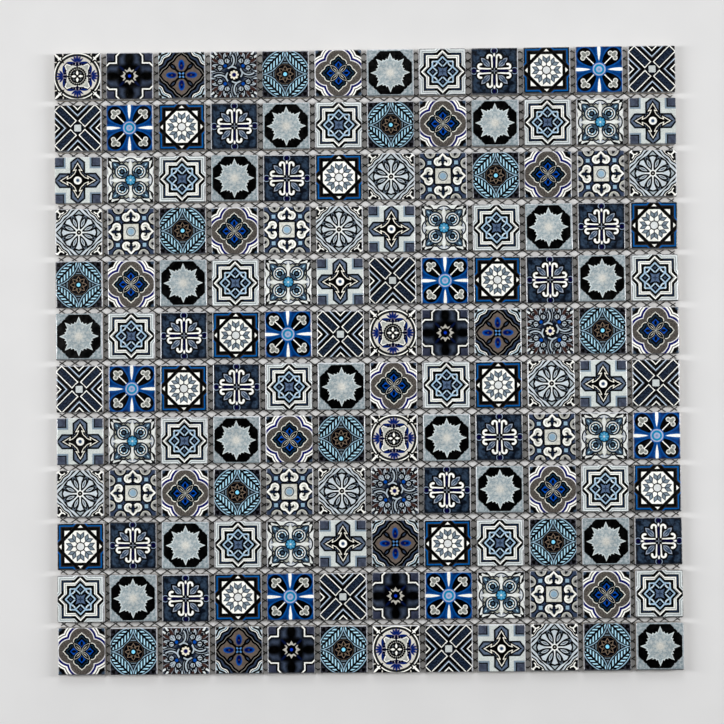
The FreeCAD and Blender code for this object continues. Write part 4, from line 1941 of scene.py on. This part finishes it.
@dataclass(frozen=True)
class ChipSet:
    """All the chips of one pattern, set out on the sheet with a tiler's small errors."""

    design: Print
    places: tuple[Point, ...]
    chip: Chip
    reach: float = 150.0 * MM
    drift: float = 0.10 * MM
    turn: float = 0.30
    lean: float = 0.035 * MM
    misprint: float = 0.022
    firing: float = 0.05

    def build(self, master: Mesh, material: Material, seed: int) -> None:
        """Set the chips out as one piece.

        Args:
            master: The shape of a chip.
            material: The pattern's finish.
            seed: What the small errors are drawn from.
        """
        draw = random.Random(seed)
        bm = bmesh.new()
        firing = bm.verts.layers.float.new("firing")
        across = math.ceil(math.sqrt(len(self.places)))
        for number, centre in enumerate(self.places):
            angle = math.radians(draw.uniform(-self.turn, self.turn))
            place = [self.hold(c, draw.uniform(-self.drift, self.drift), angle) for c in centre]
            verts, faces = append_copy(bm, master, Matrix.Rotation(angle, 4, "Z"))
            self.lean_face(verts, draw)
            bmesh.ops.translate(bm, vec=(*place, 0), verts=verts)
            tone = draw.uniform(-self.firing, self.firing)
            for vert in verts:
                vert[firing] = tone
            slip = Vector([draw.uniform(-self.misprint, self.misprint) for _ in range(2)])
            corner = Vector((number % across, number // across))
            printed, baked = bm.loops.layers.uv["Print"], bm.loops.layers.uv["OFBake"]
            for loop in (loop for face in faces for loop in face.loops):
                loop[printed].uv += slip
                loop[baked].uv = (loop[baked].uv + corner) / across
        name = self.design.node
        piece = bpy.data.objects.new(name.removesuffix("_tiles") + "_chips", take_mesh(bm, name))
        set_piece(piece, material, name)

    def hold(self, centre: float, drift: float, angle: float) -> float:
        """Move a chip's centre without letting the chip pass the sheet's edge.

        Args:
            centre: Where the chip belongs.
            drift: How far it would move.
            angle: How far the chip is turned, in radians.

        Returns:
            Where it stands.
        """
        half = self.chip.side / 2
        limit = self.reach - half - (half - self.chip.upright_round) * abs(math.sin(angle))
        return max(-limit, min(limit, centre + drift))

    def lean_face(self, verts: list[BMVert], draw: random.Random) -> None:
        """Let a chip's face lean by a few hundredths of a millimetre.

        Args:
            verts: The chip's corners, about the origin.
            draw: Where the lean comes from.
        """
        tilt = [draw.uniform(-self.lean, self.lean) / 2 for _ in range(2)]
        drop = abs(tilt[0]) + abs(tilt[1])
        half, rise = self.chip.side / 2, self.chip.top - self.chip.seat
        for vert in verts:
            share = max(0.0, (vert.co.z - self.chip.seat) / rise)
            vert.co.z += share * (tilt[0] * vert.co.x / half + tilt[1] * vert.co.y / half - drop)


class Lean(Enum):
    """Which way a layer of threads runs."""

    RISING = 1
    FALLING = -1


@dataclass(frozen=True)
class ThreadLayer:
    """One layer of the net: parallel threads that weave over and under the other layer's."""

    lean: Lean
    mesh_length: float = 6.3 * MM
    mesh_depth: float = 4.2 * MM
    half_net: float = 149.25 * MM
    width: float = 0.5 * MM
    height: float = 0.25 * MM
    seat: float = 0.5 * MM
    sides: int = 6
    wander: float = 0.08 * MM
    wander_waves: tuple[Point, ...] = ((90.0, 1.0), (310.0, 0.6))
    weld: float = 0.01 * MM
    strip_share: float = 0.8

    def build(self, material: Material) -> None:
        """Weave the layer and cut it to the sheet's outline.

        Args:
            material: The thread's finish.
        """
        openings = self.half_net / self.mesh_length + self.half_net / self.mesh_depth
        pairs = 2 * (math.ceil(self.half_net / self.mesh_depth) + 1)
        threads = 2 * math.ceil(openings) + 4
        thread = self.draw_thread(pairs)
        bm = bmesh.new()
        first = Vector((-pairs / 2 - (threads - 1) / 2, -pairs / 2, 0))
        for row in range(threads):
            step = Vector(((first.x + row) * self.mesh_length, first.y * self.mesh_depth, 0))
            _, faces = append_copy(bm, thread, Matrix.Translation(step))
            baked = bm.loops.layers.uv["OFBake"]
            for loop in (loop for face in faces for loop in face.loops):
                loop[baked].uv.y = (row + self.strip_share * loop[baked].uv.y) / threads
        bmesh.ops.scale(bm, vec=(self.lean.value, 1, 1), verts=bm.verts)
        for side in (Vector((1, 0, 0)), Vector((-1, 0, 0)), Vector((0, 1, 0)), Vector((0, -1, 0))):
            bmesh.ops.bisect_plane(bm, geom=bm.verts[:] + bm.edges[:] + bm.faces[:], dist=1e-7,
                                   plane_co=side * self.half_net, plane_no=side, clear_outer=True)
        bmesh.ops.holes_fill(bm, edges=[e for e in bm.edges if e.is_boundary], sides=0)
        bmesh.ops.recalc_face_normals(bm, faces=bm.faces)
        self.let_wander(bm)
        for face in bm.faces:
            face.smooth = abs(face.normal.z) > 0.05 or len(face.verts) == 4
        way = self.lean.name.lower()
        name = f"net_{way}_threads"
        piece = bpy.data.objects.new(f"woven_{way}_threads", take_mesh(bm, name))
        set_piece(piece, material, name)

    def draw_thread(self, pairs: int) -> Mesh:
        """Draw out one thread, with a map along and round it.

        Args:
            pairs: How many times it goes over one crossing and under the next.

        Returns:
            The thread, which starts at the origin.
        """
        run, climb = self.mesh_length / 2, self.mesh_depth / 2
        bm = bmesh.new()
        self.lay_crossing_pair(bm, run, climb)
        pair = take_mesh(bm, "crossing_pair")
        bm = bmesh.new()
        for number in range(pairs):
            append_copy(bm, pair, Matrix.Translation((2 * run * number, 2 * climb * number, 0)))
        bmesh.ops.remove_doubles(bm, verts=bm.verts, dist=self.weld)
        layers = bm.loops.layers.uv
        along_map, baked = layers.new("Thread"), layers.new("OFBake")
        turn = bm.verts.layers.float["turn"]
        heading = Vector((run, climb, 0)).normalized()
        length = max(v.co.dot(heading) for v in bm.verts)
        for face in bm.faces:
            seam = max(v[turn] for v in face.verts) > 0.5
            for loop in face.loops:
                round_it = loop.vert[turn] + (seam and loop.vert[turn] < 0.25)
                along = loop.vert.co.dot(heading)
                loop[along_map].uv = (along, round_it)
                loop[baked].uv = (along / length, round_it)
        return take_mesh(bm, "thread")

    def lay_crossing_pair(self, bm: BMesh, run: float, climb: float) -> None:
        """Draw out the stretch of thread that passes two crossings.

        Args:
            bm: An empty mesh.
            run: How far a crossing is along x from the next.
            climb: How far it is along y.
        """
        middle, sway = self.seat / 2, (self.seat - self.height) / 2
        sway *= self.lean.value
        heights = [middle - sway * math.cos(math.pi * step / 2) for step in range(5)]
        ring = bmesh.ops.create_circle(bm, cap_ends=False, segments=self.sides, radius=0.5)["verts"]
        turn = bm.verts.layers.float.new("turn")
        for number, vert in enumerate(bm.verts):
            vert[turn] = number / self.sides
        bmesh.ops.scale(bm, vec=(self.height, self.width, 1), verts=bm.verts)
        stand = Matrix.Translation((0, 0, heights[0]))
        stand @= Matrix.Rotation(math.atan2(climb, run), 4, "Z")
        stand @= Matrix.Rotation(math.radians(90), 4, "Y")
        bmesh.ops.transform(bm, matrix=stand, verts=bm.verts)
        edges = list(bm.edges)
        for last, height in zip(heights, heights[1:]):
            drawn = bmesh.ops.extrude_edge_only(bm, edges=edges)["geom"]
            moved = {g for g in drawn if isinstance(g, BMVert)}
            edges = [g for g in drawn if isinstance(g, BMEdge) and set(g.verts) <= moved]
            bmesh.ops.translate(bm, vec=(run / 2, climb / 2, height - last), verts=list(moved))

    def let_wander(self, bm: BMesh) -> None:
        """Move the threads a little sideways, as handling does, but not past the outline.

        Args:
            bm: The layer.
        """
        for vert in bm.verts:
            away = sum((share * noise.noise_vector(vert.co * rate)
                        for rate, share in self.wander_waves), Vector())
            for part in (0, 1):
                moved = vert.co[part] + away[part] * self.wander
                vert.co[part] = max(-self.half_net, min(self.half_net, moved))


@dataclass(frozen=True)
class Studio:
    """The pale floor, the lamps at both sides and at the far end, and the camera above."""

    floor_tint: Tint = (0.835, 0.834, 0.834)
    floor_side: float = 3.0
    far_wall: float = 0.64
    near_wall: float = 0.12
    ceiling_light: float = 0.0
    ceiling_edge: Point = (0.80, 0.93)
    lamps: tuple[tuple[str, Spot, Point, float], ...] = (
        ("left_softbox", (-0.80, 0.05, 0.75), (0.16, 0.80), 6.75),
        ("right_softbox", (0.80, 0.05, 0.75), (0.16, 0.80), 6.45),
        ("far_softbox", (0.0, 0.70, 0.90), (0.30, 0.40), 2.2))
    camera_place: Spot = (0.0078, -0.0215, 0.8272)
    camera_turn: Spot = (1.419, 0.729, -0.605)
    focal_length: float = 85.0

    def build(self) -> None:
        """Set up the floor, the lamps, the world and the camera."""
        self.lay_floor()
        for name, place, sides, power in self.lamps:
            self.hang_lamp(name, Vector(place), sides, power)
        self.light_sky()
        self.stand_camera()

    def lay_floor(self) -> None:
        """Lay the floor that the sheet lies on."""
        bm = bmesh.new()
        bmesh.ops.create_grid(bm, x_segments=4, y_segments=4, size=self.floor_side / 2)
        floor = bpy.data.objects.new("studio_floor", take_mesh(bm, "studio_floor"))
        material, w, shader, place = start_finish("studio_floor")
        level = w.swing(0.985, 1.015, place, 30.0, 2.0)
        w.wire(shader, Base_Color=w.scale(linear(self.floor_tint), level), Roughness=0.8)
        floor.data.materials.append(material)
        bpy.context.scene.collection.objects.link(floor)

    def hang_lamp(self, name: str, place: Vector, sides: Point, power: float) -> None:
        """Hang a soft box that looks at the sheet.

        Args:
            name: The lamp's name.
            place: Where it hangs.
            sides: How wide it is across the light's way, and how high.
            power: Its power in watts.
        """
        light = bpy.data.lights.new(name, "AREA")
        light.shape, light.energy = "RECTANGLE", power
        light.size, light.size_y = sides
        lamp = bpy.data.objects.new(name, light)
        lamp.location = place
        lamp.rotation_euler = (-place).to_track_quat("-Z", "Y").to_euler()
        bpy.context.scene.collection.objects.link(lamp)

    def light_sky(self) -> None:
        """Give the room its light from the far walls, and a dark ceiling above the camera."""
        world = bpy.data.worlds.new("studio_room")
        world.use_nodes = True
        w = Wiring(world.node_tree)
        _, away, height = w.split(w.node("TexCoord").outputs["Generated"])
        wall = w.ramp(away, -0.9, 0.9, self.near_wall, self.far_wall)
        w.wire(world.node_tree.nodes["Background"], Color=(1.0, 1.0, 1.0),
               Strength=w.ramp(height, *self.ceiling_edge, wall, self.ceiling_light))
        bpy.context.scene.world = world

    def stand_camera(self) -> None:
        """Stand the camera where the photograph was taken from."""
        lens = bpy.data.cameras.new("camera")
        lens.lens, lens.sensor_width = self.focal_length, 36.0
        camera = bpy.data.objects.new("camera", lens)
        camera.location = self.camera_place
        camera.rotation_euler = [math.radians(turn) for turn in self.camera_turn]
        bpy.context.scene.collection.objects.link(camera)
        bpy.context.scene.camera = camera


def main() -> None:
    """Build the sheet and the studio, and report each piece."""
    logging.basicConfig(level=logging.INFO, format="%(name)s: %(message)s")
    Studio().build()
    shelf, sheet, chip, glaze = EffectShelf(), Sheet(), Chip(), PrintedGlaze()
    master = chip.build()
    for number, (letter, kind) in enumerate(DESIGNS.items()):
        design = kind()
        material = glaze.make(design, shelf, seed=SEED_STEP * number + FIRST_SEED)
        ChipSet(design, tuple(sheet.places(letter)), chip).build(master, material, seed=number)
    thread = BondedThread().make(shelf)
    for lean in Lean:
        ThreadLayer(lean).build(thread)
    bpy.context.scene.view_settings.view_transform = "Standard"


if __name__ == "__main__":
    main()
